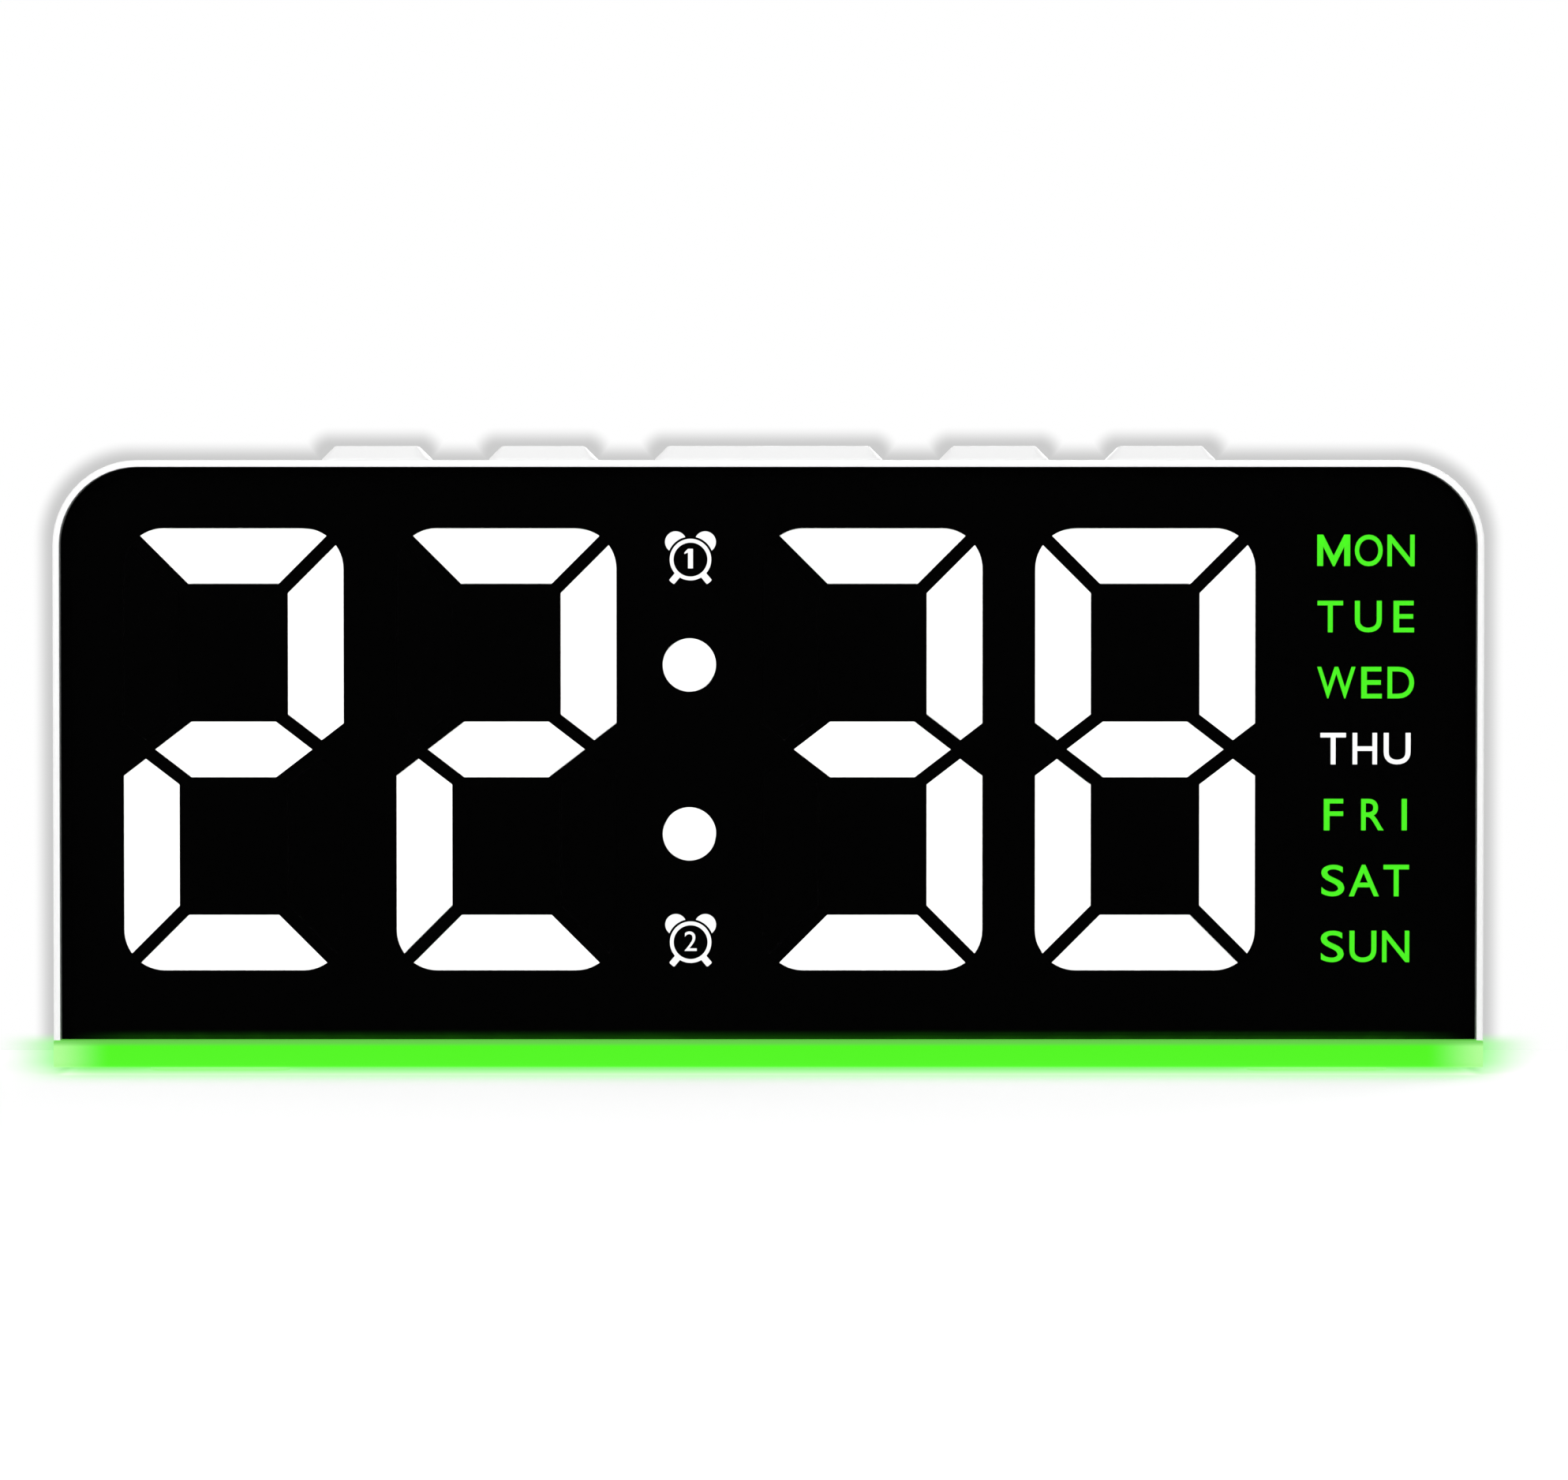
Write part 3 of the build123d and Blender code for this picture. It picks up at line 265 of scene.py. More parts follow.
class Tree:
    """A node tree being wired, of a material or of the world."""

    def __init__(self, owner):
        owner.use_nodes = True
        self.nodes = owner.node_tree.nodes
        self.links = owner.node_tree.links
        self.nodes.clear()

    def node(self, kind, settings, inputs, output=0):
        """Adds a node: its settings first, then its sockets' values or links."""
        node = self.nodes.new(kind)
        for key, value in settings.items():
            setattr(node, key, value)
        for key, value in inputs.items():
            if isinstance(value, Shade):
                self.links.new(value.socket, node.inputs[key])
            else:
                node.inputs[key].default_value = value
        return Shade(self, node.outputs[output])

    def place(self, stretch=(1.0, 1.0, 1.0)):
        """The object's own coordinates, drawn out along each axis."""
        here = self.node("ShaderNodeTexCoord", {}, {}, "Object")
        return self.node("ShaderNodeMapping", {}, {"Vector": here, "Scale": stretch})

    def axes(self, kind="Object"):
        """Coordinates, by default the object's own, as three numbers."""
        here = self.node("ShaderNodeTexCoord", {}, {}, kind)
        apart = self.node("ShaderNodeSeparateXYZ", {}, {0: here}).socket.node
        return [Shade(self, socket) for socket in apart.outputs]

    def rays(self):
        """Whether a ray is seen, straight or through glass, and whether it is mirrored."""
        path = self.node("ShaderNodeLightPath", {}, {}).socket.node.outputs
        seen = Shade(self, path["Is Camera Ray"]) + Shade(self, path["Is Transmission Ray"])
        return seen, Shade(self, path["Is Glossy Ray"])

    def noise(self, size, detail=2.0, stretch=(1.0, 1.0, 1.0)):
        """Cloudy noise whose features are about a size wide."""
        settings = {"Vector": self.place(stretch), "Scale": 1.0 / size, "Detail": detail}
        return self.node("ShaderNodeTexNoise", {}, settings)

    def cells(self, size):
        """Cells about a size wide."""
        inputs = {"Vector": self.place(), "Scale": 1.0 / size}
        return self.node("ShaderNodeTexVoronoi", {}, inputs)

    def rise(self, value, low, high):
        """0 below one level, 1 above another and smooth between them."""
        settings = {"interpolation_type": "SMOOTHSTEP"}
        inputs = {"Value": value, "From Min": low, "From Max": high}
        return self.node("ShaderNodeMapRange", settings, inputs)

    def mix(self, share, first, second):
        """From one colour to another by a share."""
        inputs = {0: share, 6: as_color(first), 7: as_color(second)}
        return self.node("ShaderNodeMix", {"data_type": "RGBA"}, inputs, 2)

    def bump(self, height, depth, strength):
        inputs = {"Strength": strength, "Distance": depth, "Height": height}
        return self.node("ShaderNodeBump", {}, inputs)

    def surface(self, **inputs):
        """The Principled surface, its sockets named with underscores."""
        named = {}
        for key, value in inputs.items():
            label = key.replace("_", " ").title().replace("Ior", "IOR")
            named[label] = as_color(value) if label.endswith("Color") else value
        shader = self.node("ShaderNodeBsdfPrincipled", {}, named)
        self.node_output(shader)

    def node_output(self, shader, kind="ShaderNodeOutputMaterial"):
        output = self.nodes.new(kind)
        self.links.new(shader.socket, output.inputs["Surface"])


def as_color(value):
    """A colour with its alpha, or a link as it is."""
    if isinstance(value, Shade):
        return value
    return (value[0], value[1], value[2], 1.0)


def scaled(color, factor):
    """A darker or lighter colour."""
    return tuple(channel * factor for channel in color)


def new_material(name):
    """An empty material and the tree to wire it with."""
    material = bpy.data.materials.new(name)
    return material, Tree(material)


def moulded_plastic(name, color, roughness, grain=0.00035):
    """Moulded plastic: a fine spark-eroded grain, and clouds in tone and gloss."""
    material, tree = new_material(name)
    clouds = tree.noise(0.02, 3.0)
    grains = tree.noise(grain, 1.0)
    tone = tree.mix(clouds * 0.6 + grains * 0.4, scaled(color, 0.965), color)
    tree.surface(
        base_color=tone,
        roughness=roughness + (clouds - 0.5) * 0.12 + (grains - 0.5) * 0.1,
        normal=tree.bump(grains, 0.000012, 0.6),
    )
    return material


def smoked_acrylic(name, tint, glow_color, foot):
    """Polished smoked acrylic, with the foot bar's light painted along its lowest edge."""
    material, tree = new_material(name)
    across, _, height = tree.axes()
    ripples = tree.noise(0.03, 1.0)
    dust = tree.rise(tree.noise(0.0012), 0.62, 0.8)
    edge_height = 0.0012
    # The bar's light is painted on the lens's lowest edge, fading out towards its ends.
    painted_edge_light = 1.0 - tree.rise(height, foot, foot + edge_height)
    ends = 1.0 - tree.rise(across.absolute(), *lens_fade)
    tree.surface(
        base_color=(0.001, 0.001, 0.001),
        roughness=0.03 + dust * 0.03,
        alpha=tint,
        emission_color=tree.mix(painted_edge_light * ends, (0.0, 0.0, 0.0), scaled(glow_color, 0.13)),
        emission_strength=1.0,
        normal=tree.bump(ripples, 0.00001, 0.2),
    )
    return material


def black_film(name):
    """Printed black film with a faint tooth."""
    material, tree = new_material(name)
    tooth = tree.noise(0.0004)
    tree.surface(
        base_color=tree.mix(tooth, (0.0003, 0.0003, 0.0003), (0.0012, 0.0012, 0.0012)),
        roughness=0.6 + tooth * 0.2,
        specular_ior_level=0.02,
        normal=tree.bump(tooth, 0.000008, 0.5),
    )
    return material


def glowing_guide(name, color, glow):
    """A light guide lit from behind: near even, with a fine diffusing grain."""
    material, tree = new_material(name)
    grain = tree.noise(0.0008)
    tree.surface(
        base_color=scaled(color, 0.3),
        roughness=0.35 + grain * 0.1,
        emission_color=tree.mix(grain, scaled(color, 0.97), color),
        emission_strength=glow,
        normal=tree.bump(grain, 0.000005, 0.3),
    )
    return material


def dark_guide(name):
    """A light guide with no light behind it, tinted to vanish in the mask."""
    material, tree = new_material(name)
    grain = tree.noise(0.0008)
    tree.surface(
        base_color=tree.mix(grain, (0.0004, 0.0004, 0.0004), (0.0016, 0.0016, 0.0016)),
        roughness=0.45 + grain * 0.15,
        specular_ior_level=0.02,
    )
    return material


def glowing_bar(name, color, top):
    """Clear plastic lit from inside: paler at its ends, with a painted shadow along its top."""
    material, tree = new_material(name)
    across, _, height = tree.axes()
    streaks = tree.noise(0.004, 2.0, (0.15, 1.0, 1.0))
    ends = tree.rise(across.absolute(), *bar_fade)
    pale = tree.mix(ends, color, (0.42, 0.90, 0.29))
    # A painted shadow line dulls the bar along its top.
    top_shadow_start = top - 0.0007
    top_shadow_end = top - 0.0001
    painted_top_shadow = tree.rise(height, top_shadow_start, top_shadow_end)
    lit = tree.mix(painted_top_shadow, pale, (0.14, 0.60, 0.075))
    even = tree.mix(streaks * 0.08, lit, scaled(color, 0.8))
    tree.surface(
        base_color=tree.mix(ends, (0.004, 0.03, 0.002), (0.10, 0.14, 0.08)),
        roughness=0.3 + streaks * 0.1,
        specular_ior_level=0.2,
        emission_color=even,
        emission_strength=0.95,
        normal=tree.bump(streaks, 0.00002, 0.3),
    )
    return material


def circuit_board(name):
    """Green solder mask over copper tracks, with tinned vias."""
    material, tree = new_material(name)
    tracks = tree.node(
        "ShaderNodeTexBrick",
        {"offset": 0.37, "squash": 1.6},
        {
            "Vector": tree.place(),
            "Scale": 1.0,
            "Mortar Size": 0.00022,
            "Mortar Smooth": 0.3,
            "Brick Width": 0.0061,
            "Row Height": 0.0014,
        },
        "Fac",
    )
    spread = tree.noise(0.012)
    tracks_here = tracks * tree.rise(spread, 0.42, 0.55)
    vias = 1.0 - tree.rise(tree.cells(0.006), 0.07, 0.09)
    mask_color = tree.mix(tracks_here, (0.008, 0.075, 0.03), (0.02, 0.17, 0.07))
    tree.surface(
        base_color=tree.mix(vias, mask_color, (0.6, 0.6, 0.58)),
        roughness=0.3 + spread * 0.15,
        metallic=vias * 0.9,
        normal=tree.bump(tracks_here + vias, 0.00003, 0.6),
    )
    return material


def drawn_metal(name, color, roughness, stretch):
    """Metal with fine lines along the way that it was drawn, rolled or turned."""
    material, tree = new_material(name)
    lines = tree.noise(0.00025, 3.0, stretch)
    stains = tree.noise(0.005)
    tree.surface(
        base_color=tree.mix(lines * 0.5 + stains * 0.5, scaled(color, 0.78), color),
        roughness=roughness + lines * 0.14,
        metallic=1.0,
        normal=tree.bump(lines, 0.000006, 0.5),
    )
    return material


def led_package(name):
    """A pale housing round a yellow phosphor window."""
    material, tree = new_material(name)
    specks = tree.noise(0.0003, 3.0)
    blots = tree.rise(tree.noise(0.0012, 1.0), 0.45, 0.55)
    tree.surface(
        base_color=tree.mix(blots, (0.86, 0.84, 0.78), (0.88, 0.72, 0.16)),
        roughness=0.3 + specks * 0.2,
        normal=tree.bump(specks, 0.00001, 0.4),
    )
    return material


def clear_silicone(name, glow_color, front):
    """Milky silicone with pores and a little bloom, with the bar's light painted on it near the
    front.
    """
    material, tree = new_material(name)
    _, along, _ = tree.axes()
    pores = tree.cells(0.0005)
    bloom = tree.noise(0.004, 3.0)
    # The bar's light is painted on the silicone, fading out behind the front.
    fade_start = front + 0.006
    fade_end = front + 0.014
    painted_bar_glow = 1.0 - tree.rise(along, fade_start, fade_end)
    tree.surface(
        base_color=tree.mix(bloom, (0.72, 0.74, 0.72), (0.82, 0.83, 0.82)),
        roughness=0.45 + bloom * 0.2,
        emission_color=tree.mix(painted_bar_glow, (0.0, 0.0, 0.0), scaled(glow_color, 0.95)),
        emission_strength=1.0,
        normal=tree.bump(pores, 0.00002, 0.6),
    )
    return material


def dress(material, *names):
    """Gives a CAD node its finish."""
    for name in names:
        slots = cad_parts[name].data.materials
        slots.clear()
        slots.append(material)


def deselect():
    if bpy.context.object and bpy.context.object.mode != "OBJECT":
        bpy.ops.object.mode_set(mode="OBJECT")
    bpy.ops.object.select_all(action="DESELECT")


def select(*pieces):
    """Selects these pieces alone, the first as the active one."""
    deselect()
    for piece in pieces:
        piece.select_set(True)
    bpy.context.view_layer.objects.active = pieces[0]


def fix_place():
    """Puts the selected piece's place, turn and size into its mesh."""
    bpy.ops.object.transform_apply(location=True, rotation=True, scale=True)


def settle(piece, name, body, material):
    """Fixes a finished piece in its place, dresses it and ties it to its body."""
    select(piece)
    fix_place()
    piece.name = name
    piece.data.name = name
    piece.data.materials.clear()
    piece.data.materials.append(material)
    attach(piece, body)


def join(pieces):
    """One object of several."""
    select(*pieces)
    bpy.ops.object.join()
    return bpy.context.object


def glyph(character, boldness):
    """A character of the plain built-in font as a mesh, lying at the origin."""
    deselect()
    bpy.ops.object.text_add()
    text = bpy.context.object
    text.data.body = character
    text.data.offset = boldness
    text.data.extrude = 0.01  # gives it a depth, which stand() scales
    text.data.resolution_u = 6
    bpy.ops.object.convert(target="MESH")
    return bpy.context.object


def extent(piece, axis):
    """The lowest and highest place of a mesh along one of its own axes."""
    places = [corner[axis] for corner in piece.bound_box]
    return min(places), max(places)


def stand(piece, centre_x, centre_z, width, height):
    """Turns a flat glyph to the front, sized and centred on a place."""
    left, right = extent(piece, 0)
    bottom, top = extent(piece, 1)
    back, front = extent(piece, 2)
    scale_x = width / (right - left)
    scale_z = height / (top - bottom)
    piece.rotation_euler = (pi / 2, 0.0, 0.0)
    piece.scale = (scale_x, scale_z, mark_depth / (front - back))
    piece.location = (
        centre_x - (left + right) / 2 * scale_x,
        mark_y,
        centre_z - (bottom + top) / 2 * scale_z,
    )
    select(piece)
    fix_place()


def disc(centre_x, centre_z, radius, vertices):
    """A thin disc that faces the front, in the gap behind the lens."""
    deselect()
    bpy.ops.mesh.primitive_cylinder_add(
        vertices=vertices,
        radius=radius,
        depth=mark_depth,
        location=(centre_x, mark_y, centre_z),
        rotation=(pi / 2, 0.0, 0.0),
    )
    fix_place()
    return bpy.context.object


def pick_faces(piece, test):
    """Selects a mesh's faces by a test, and goes into edit mode on them."""
    bpy.context.tool_settings.mesh_select_mode = (False, False, True)
    for part in (piece.data.vertices, piece.data.edges, piece.data.polygons):
        part.foreach_set("select", [False] * len(part))
    for face in piece.data.polygons:
        face.select = test(face)
    bpy.ops.object.mode_set(mode="EDIT")


class CLOCK_OT_finish_casing(bpy.types.Operator):
    """Finish the casing, its cover, the battery door, the feet and the screws"""

    bl_idname = "clock.finish_casing"
    bl_label = "Finish Casing"

    def execute(self, context):
        finish = context.scene.clock_finish
        white = moulded_plastic("Satin white plastic", finish.casing_color, 0.4, finish.grain_size)
        dress(white, "housing", "rear_cover", "battery_door")
        # The bar's green light is painted on the feet near the front.
        feet = clear_silicone("Clear silicone", (0.25, 0.93, 0.18), bar_box[0].y)
        dress(feet, "rubber_feet")
        turned = drawn_metal("Blackened steel", (0.12, 0.12, 0.125), 0.38, (1.0, 1.0, 1.0))
        dress(turned, "cover_screws", "board_screws")
        return {"FINISHED"}


class CLOCK_OT_finish_keys(bpy.types.Operator):
    """Finish the five keys and the plungers under them"""

    bl_idname = "clock.finish_keys"
    bl_label = "Finish Keys"

    def execute(self, context):
        finish = context.scene.clock_finish
        keys = moulded_plastic("Key plastic", finish.key_color, 0.36, finish.grain_size)
        plungers = moulded_plastic("Plunger plastic", (0.05, 0.05, 0.05), 0.45)
        for name in key_names:
            dress(keys, name + "_key")
            dress(plungers, name + "_plunger")
        return {"FINISHED"}


class CLOCK_OT_finish_front(bpy.types.Operator):
    """Finish the smoked lens, its tape and the mask behind it"""

    bl_idname = "clock.finish_front"
    bl_label = "Finish Front Panel"

    def execute(self, context):
        finish = context.scene.clock_finish
        display = context.scene.clock_display
        lens = smoked_acrylic(
            "Smoked acrylic", finish.lens_tint, display.bar_color, lens_box[0].z
        )
        dress(lens, "front_lens")
        dress(black_film("Black film"), "lens_tape", "display_mask")
        return {"FINISHED"}


class CLOCK_OT_light_display(bpy.types.Operator):
    """Light the digits that are on, and finish the rest of the display block"""

    bl_idname = "clock.light_display"
    bl_label = "Light Display"

    def execute(self, context):
        display = context.scene.clock_display
        lit = glowing_guide("Lit guide", display.digit_color, display.digit_glow)
        dim = glowing_guide("Legend guide", display.legend_color, 0.6)
        dark = dark_guide("Dark guide")
        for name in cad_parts:
            if name.endswith("_lit"):
                dress(lit, name)
            if name.endswith("_dark"):
                dress(dark, name)
        dress(lit, "colon_dots")
        dress(dim, "weekday_guides", "alarm_guides")
        block = moulded_plastic("Reflector plastic", (0.84, 0.84, 0.82), 0.5, 0.0005)
        dress(block, "display_reflector")
        return {"FINISHED"}


class CLOCK_OT_write_weekdays(bpy.types.Operator):
    """Write the seven weekday words, each lit through the mask"""

    bl_idname = "clock.write_weekdays"
    bl_label = "Write Weekdays"

    def execute(self, context):
        display = context.scene.clock_display
        green = glowing_guide("Lit weekday", display.legend_color, 1.88)
        white = glowing_guide("Lit weekday today", display.digit_color, display.digit_glow)
        low, high = weekday_box
        centre_x = (low.x + high.x) / 2
        lowest_z = low.z + weekday_guide_height / 2 + word_rise
        pitch = (high.z - low.z - weekday_guide_height) / (len(weekday_words) - 1)
        for row, (word, width) in enumerate(weekday_words.items()):
            centre_z = lowest_z + row * pitch
            piece = self.word(word, width, display.letter_height, centre_x, centre_z)
            today = word == todays_word
            settle(
                piece,
                "weekday_" + word.lower(),
                "case",
                white if today else green,
            )
        return {"FINISHED"}

    def word(self, text, width, height, centre_x, centre_z):
        """A word whose letters keep their shapes and share the space between."""
        letters = [self.letter(character) for character in text]
        widths = [letter_widths[character] * height for character in text]
        space = (width - sum(widths)) / (len(letters) - 1)
        left = centre_x - width / 2
        for letter, letter_width in zip(letters, widths):
            stand(letter, left + letter_width / 2, centre_z, letter_width, height)
            left += letter_width + space
        return join(letters)

    def letter(self, character):
        """A letter. The M is drawn as a V between two uprights."""
        if character != "M":
            return glyph(character, letter_weight)
        pieces = [glyph(part, letter_weight) for part in "VII"]
        left, right = extent(pieces[0], 0)
        upright_left, upright_right = extent(pieces[1], 0)
        pieces[1].location.x = left - upright_left
        pieces[2].location.x = right - upright_right
        return join(pieces)


class CLOCK_OT_draw_alarm_symbols(bpy.types.Operator):
    """Draw the two alarm symbols: a bell clock's outline round a numeral"""

    bl_idname = "clock.draw_alarm_symbols"
    bl_label = "Draw Alarm Symbols"

    ring_radius = 0.00233
    ring_width = 0.00043
    ring_drop = 0.00017  # below the guide's middle
    ring_shift = 0.00013  # to the right of it
    bell_angle = radians(40.0)  # from upright, as the feet's
    bell_radius = 0.0012
    bell_reach = 0.00257  # ring's middle to the bell's
    bell_gap = 0.00025
    foot_length = 0.00324  # from the ring's middle
    foot_width = 0.00074
    foot_chamfer = (0.00012, 0.00008)  # across the foot's end and along the foot
    numeral_height = 0.0022
    numeral_rise = 0.00011  # above the ring's middle
    numeral_two_width = 0.62  # over its height
    stem_width = 0.00056
    flag_height = 0.00042
    flag_reach = 0.0004
    flag_fall = 0.7  # of the flag's height
    flag_tip = 0.45  # its height at the tip, over that at the stem

    def execute(self, context):
        display = context.scene.clock_display
        white = glowing_guide("Lit symbol", display.digit_color, display.digit_glow)
        low, high = alarm_box
        centre_x = (low.x + high.x) / 2 + self.ring_shift
        top_z = high.z - alarm_guide_height / 2 - self.ring_drop
        low_z = low.z + alarm_guide_height / 2 - self.ring_drop
        one = self.numeral_one(centre_x, top_z + self.numeral_rise)
        two = glyph("2", 0.0)
        two_width = self.numeral_two_width * self.numeral_height
        stand(two, centre_x, low_z + self.numeral_rise, two_width, self.numeral_height)
        for name, figure, centre_z in (("one", one, top_z), ("two", two, low_z)):
            parts = [self.ring(centre_x, centre_z), figure]
            for side in (-1, 1):
                parts.append(self.bell(centre_x, centre_z, side))
                parts.append(self.foot(centre_x, centre_z, side))
            settle(join(parts), "alarm_symbol_" + name, "case", white)
        return {"FINISHED"}

    def numeral_one(self, centre_x, centre_z):
        """A stem with a flag drawn out of the upper end of its left side."""
        deselect()
        bpy.ops.mesh.primitive_cube_add(
            size=1.0,
            location=(centre_x, mark_y, centre_z),
            scale=(self.stem_width, mark_depth, self.numeral_height),
        )
        piece = bpy.context.object
        fix_place()
        flag_z = centre_z + self.numeral_height / 2 - self.flag_height
        bpy.ops.object.mode_set(mode="EDIT")
        bpy.ops.mesh.select_all(action="SELECT")
        bpy.ops.mesh.bisect(plane_co=(centre_x, mark_y, flag_z), plane_no=(0.0, 0.0, 1.0))
        bpy.ops.object.mode_set(mode="OBJECT")
        pick_faces(piece, lambda face: face.normal.x < -0.9 and face.center.z > flag_z)
        reach = (-self.flag_reach, 0.0, -self.flag_height * self.flag_fall)
        bpy.ops.mesh.extrude_region_move(TRANSFORM_OT_translate={"value": reach})
        bpy.ops.transform.resize(value=(1.0, 1.0, self.flag_tip))
        bpy.ops.object.mode_set(mode="OBJECT")
        return piece

    def ring(self, centre_x, centre_z):
        piece = disc(centre_x, centre_z, self.ring_radius, 64)
        pick_faces(piece, lambda face: abs(face.normal.y) > 0.9)
        bpy.ops.mesh.inset(thickness=self.ring_width, use_boundary=True)
        bpy.ops.mesh.bridge_edge_loops()
        bpy.ops.object.mode_set(mode="OBJECT")
        return piece

    def bell(self, centre_x, centre_z, side):
        """A disc that a wider and thicker one, set round the ring, has bitten into."""
        bite = disc(centre_x, centre_z, self.ring_radius + self.bell_gap, 96)
        thickening = 3.0
        bite.scale.y = thickening
        bite.location.y = mark_y * (1.0 - thickening)
        angle = side * self.bell_angle
        across = centre_x + self.bell_reach * sin(angle)
        up = centre_z + self.bell_reach * cos(angle)
        piece = disc(across, up, self.bell_radius, 48)
        cut = piece.modifiers.new("Bite", "BOOLEAN")
        cut.operation = "DIFFERENCE"
        cut.object = bite
        bpy.ops.object.modifier_apply(modifier=cut.name)
        bpy.data.objects.remove(bite)
        return piece

    def foot(self, centre_x, centre_z, side):
        """A short leg from the ring down to the side, with a chamfered end."""
        start = self.ring_radius - self.ring_width / 2  # within the ring
        deselect()
        bpy.ops.mesh.primitive_cube_add(
            size=1.0,
            location=(0.0, mark_y, -(start + self.foot_length) / 2),
            scale=(self.foot_width, mark_depth, self.foot_length - start),
        )
        piece = bpy.context.object
        fix_place()
        pick_faces(piece, lambda face: face.normal.z < -0.9)
        chamfer_width, chamfer_length = self.foot_chamfer
        bpy.ops.mesh.inset(thickness=chamfer_width)
        bpy.ops.transform.translate(value=(0.0, 0.0, -chamfer_length))
        bpy.ops.object.mode_set(mode="OBJECT")
        piece.rotation_euler = (0.0, -side * self.bell_angle, 0.0)
        piece.location = (centre_x, 0.0, centre_z)
        fix_place()
        return piece


class CLOCK_OT_light_foot_bar(bpy.types.Operator):
    """Light the bar along the front foot, and finish the strip behind it"""

    bl_idname = "clock.light_foot_bar"
    bl_label = "Light Foot Bar"

    def execute(self, context):
        color = context.scene.clock_display.bar_color
        dress(glowing_bar("Glowing bar", color, bar_box[1].z), "light_bar")
        strip = glowing_guide("Lit strip LEDs", color, 1.5)
        dress(strip, "light_strip_leds")
        return {"FINISHED"}


class CLOCK_OT_finish_electronics(bpy.types.Operator):
    """Finish the boards, what is soldered to them and their leads"""

    bl_idname = "clock.finish_electronics"
    bl_label = "Finish Electronics"

    def execute(self, context):
        dress(
            circuit_board("Solder mask"),
            "main_board",
            "key_board",
            "inlet_board",
            "light_strip_board",
        )
        dress(led_package("LED package"), "segment_leds")
        dress(
            moulded_plastic("Chip plastic", (0.03, 0.03, 0.032), 0.5, 0.0002),
            "clock_chip",
            "driver_chip",
            "key_switches",
            "resistors",
            "buzzer",
        )
        nickel = drawn_metal("Nickel plate", (0.72, 0.71, 0.69), 0.22, (1.0, 1.0, 0.08))
        dress(nickel, "usb_socket", "battery_plates", "battery_springs", "crystal")
        dress(
            drawn_metal("Capacitor can", (0.74, 0.75, 0.77), 0.3, (1.0, 0.05, 1.0)),
            "capacitors",
        )
        dress(drawn_metal("Gold flash", (0.83, 0.61, 0.22), 0.25, (1.0, 0.1, 1.0)), "key_header")
        dress(moulded_plastic("Connector nylon", (0.82, 0.79, 0.7), 0.45), "lead_connectors")
        red = moulded_plastic("Lead insulation", (0.5, 0.02, 0.015), 0.38, 0.0006)
        dress(red, "inlet_leads", "battery_leads", "strip_leads")
        return {"FINISHED"}


class CLOCK_OT_mark_battery_bay(bpy.types.Operator):
    """Raise a plus and a minus on the bay's floor at the ends of each cell"""

    bl_idname = "clock.mark_battery_bay"
    bl_label = "Mark Battery Bay"

    cells = 3
    contact_height = 0.008
    floor_depth = 0.00555  # from the contacts' middle to the bay's floor
    inset = 0.0085  # from the contacts to the mark's middle
    arm = 0.0009
    reach = 0.0028
    rise = 0.00032
    edge_round = 0.00006

    def execute(self, context):
        finish = context.scene.clock_finish
        white = moulded_plastic("Bay mark plastic", finish.casing_color, 0.4, finish.grain_size)
        low, high = plate_box
        pitch = (high.z - low.z - self.contact_height) / (self.cells - 1)
        floor_y = (low.y + high.y) / 2 - self.floor_depth
        ends = [low.x + self.inset, high.x - self.inset]
        marks = []
        for row in range(self.cells):
            centre_z = low.z + self.contact_height / 2 + row * pitch
            minus_x, plus_x = ends if row % 2 == 0 else ends[::-1]
            marks.append(self.mark(minus_x, floor_y, centre_z, False))
            marks.append(self.mark(plus_x, floor_y, centre_z, True))
        settle(join(marks), "polarity_marks", "case", white)
        return {"FINISHED"}

    def mark(self, centre_x, floor_y, centre_z, plus):
        """A raised bar, or a cross whose arms grow out of its middle."""
        deselect()
        middle = Vector((centre_x, floor_y + self.rise / 2, centre_z))
        bpy.ops.mesh.primitive_cube_add(
            size=1.0, location=middle, scale=(self.arm, self.rise, self.arm)
        )
        piece = bpy.context.object
        fix_place()
        step = (self.reach - self.arm) / 2
        ways = [(1, 0, 0), (-1, 0, 0)]
        if plus:
            ways += [(0, 0, 1), (0, 0, -1)]
        for way in ways:
            side = Vector(way)
            # Of all that faces this way, only the block's own side is so near its middle.
            pick_faces(
                piece,
                lambda face: face.normal.dot(side) > 0.9
                and (face.center - middle).length < self.arm * 0.6,
            )
            bpy.ops.mesh.extrude_region_move(TRANSFORM_OT_translate={"value": side * step})
            bpy.ops.object.mode_set(mode="OBJECT")
        pick_faces(piece, lambda face: face.normal.y > 0.9)
        bpy.ops.mesh.select_mode(type="EDGE")
        bpy.ops.mesh.region_to_loop()
        bpy.ops.mesh.bevel(offset=self.edge_round, segments=2)
        bpy.ops.object.mode_set(mode="OBJECT")
        return piece


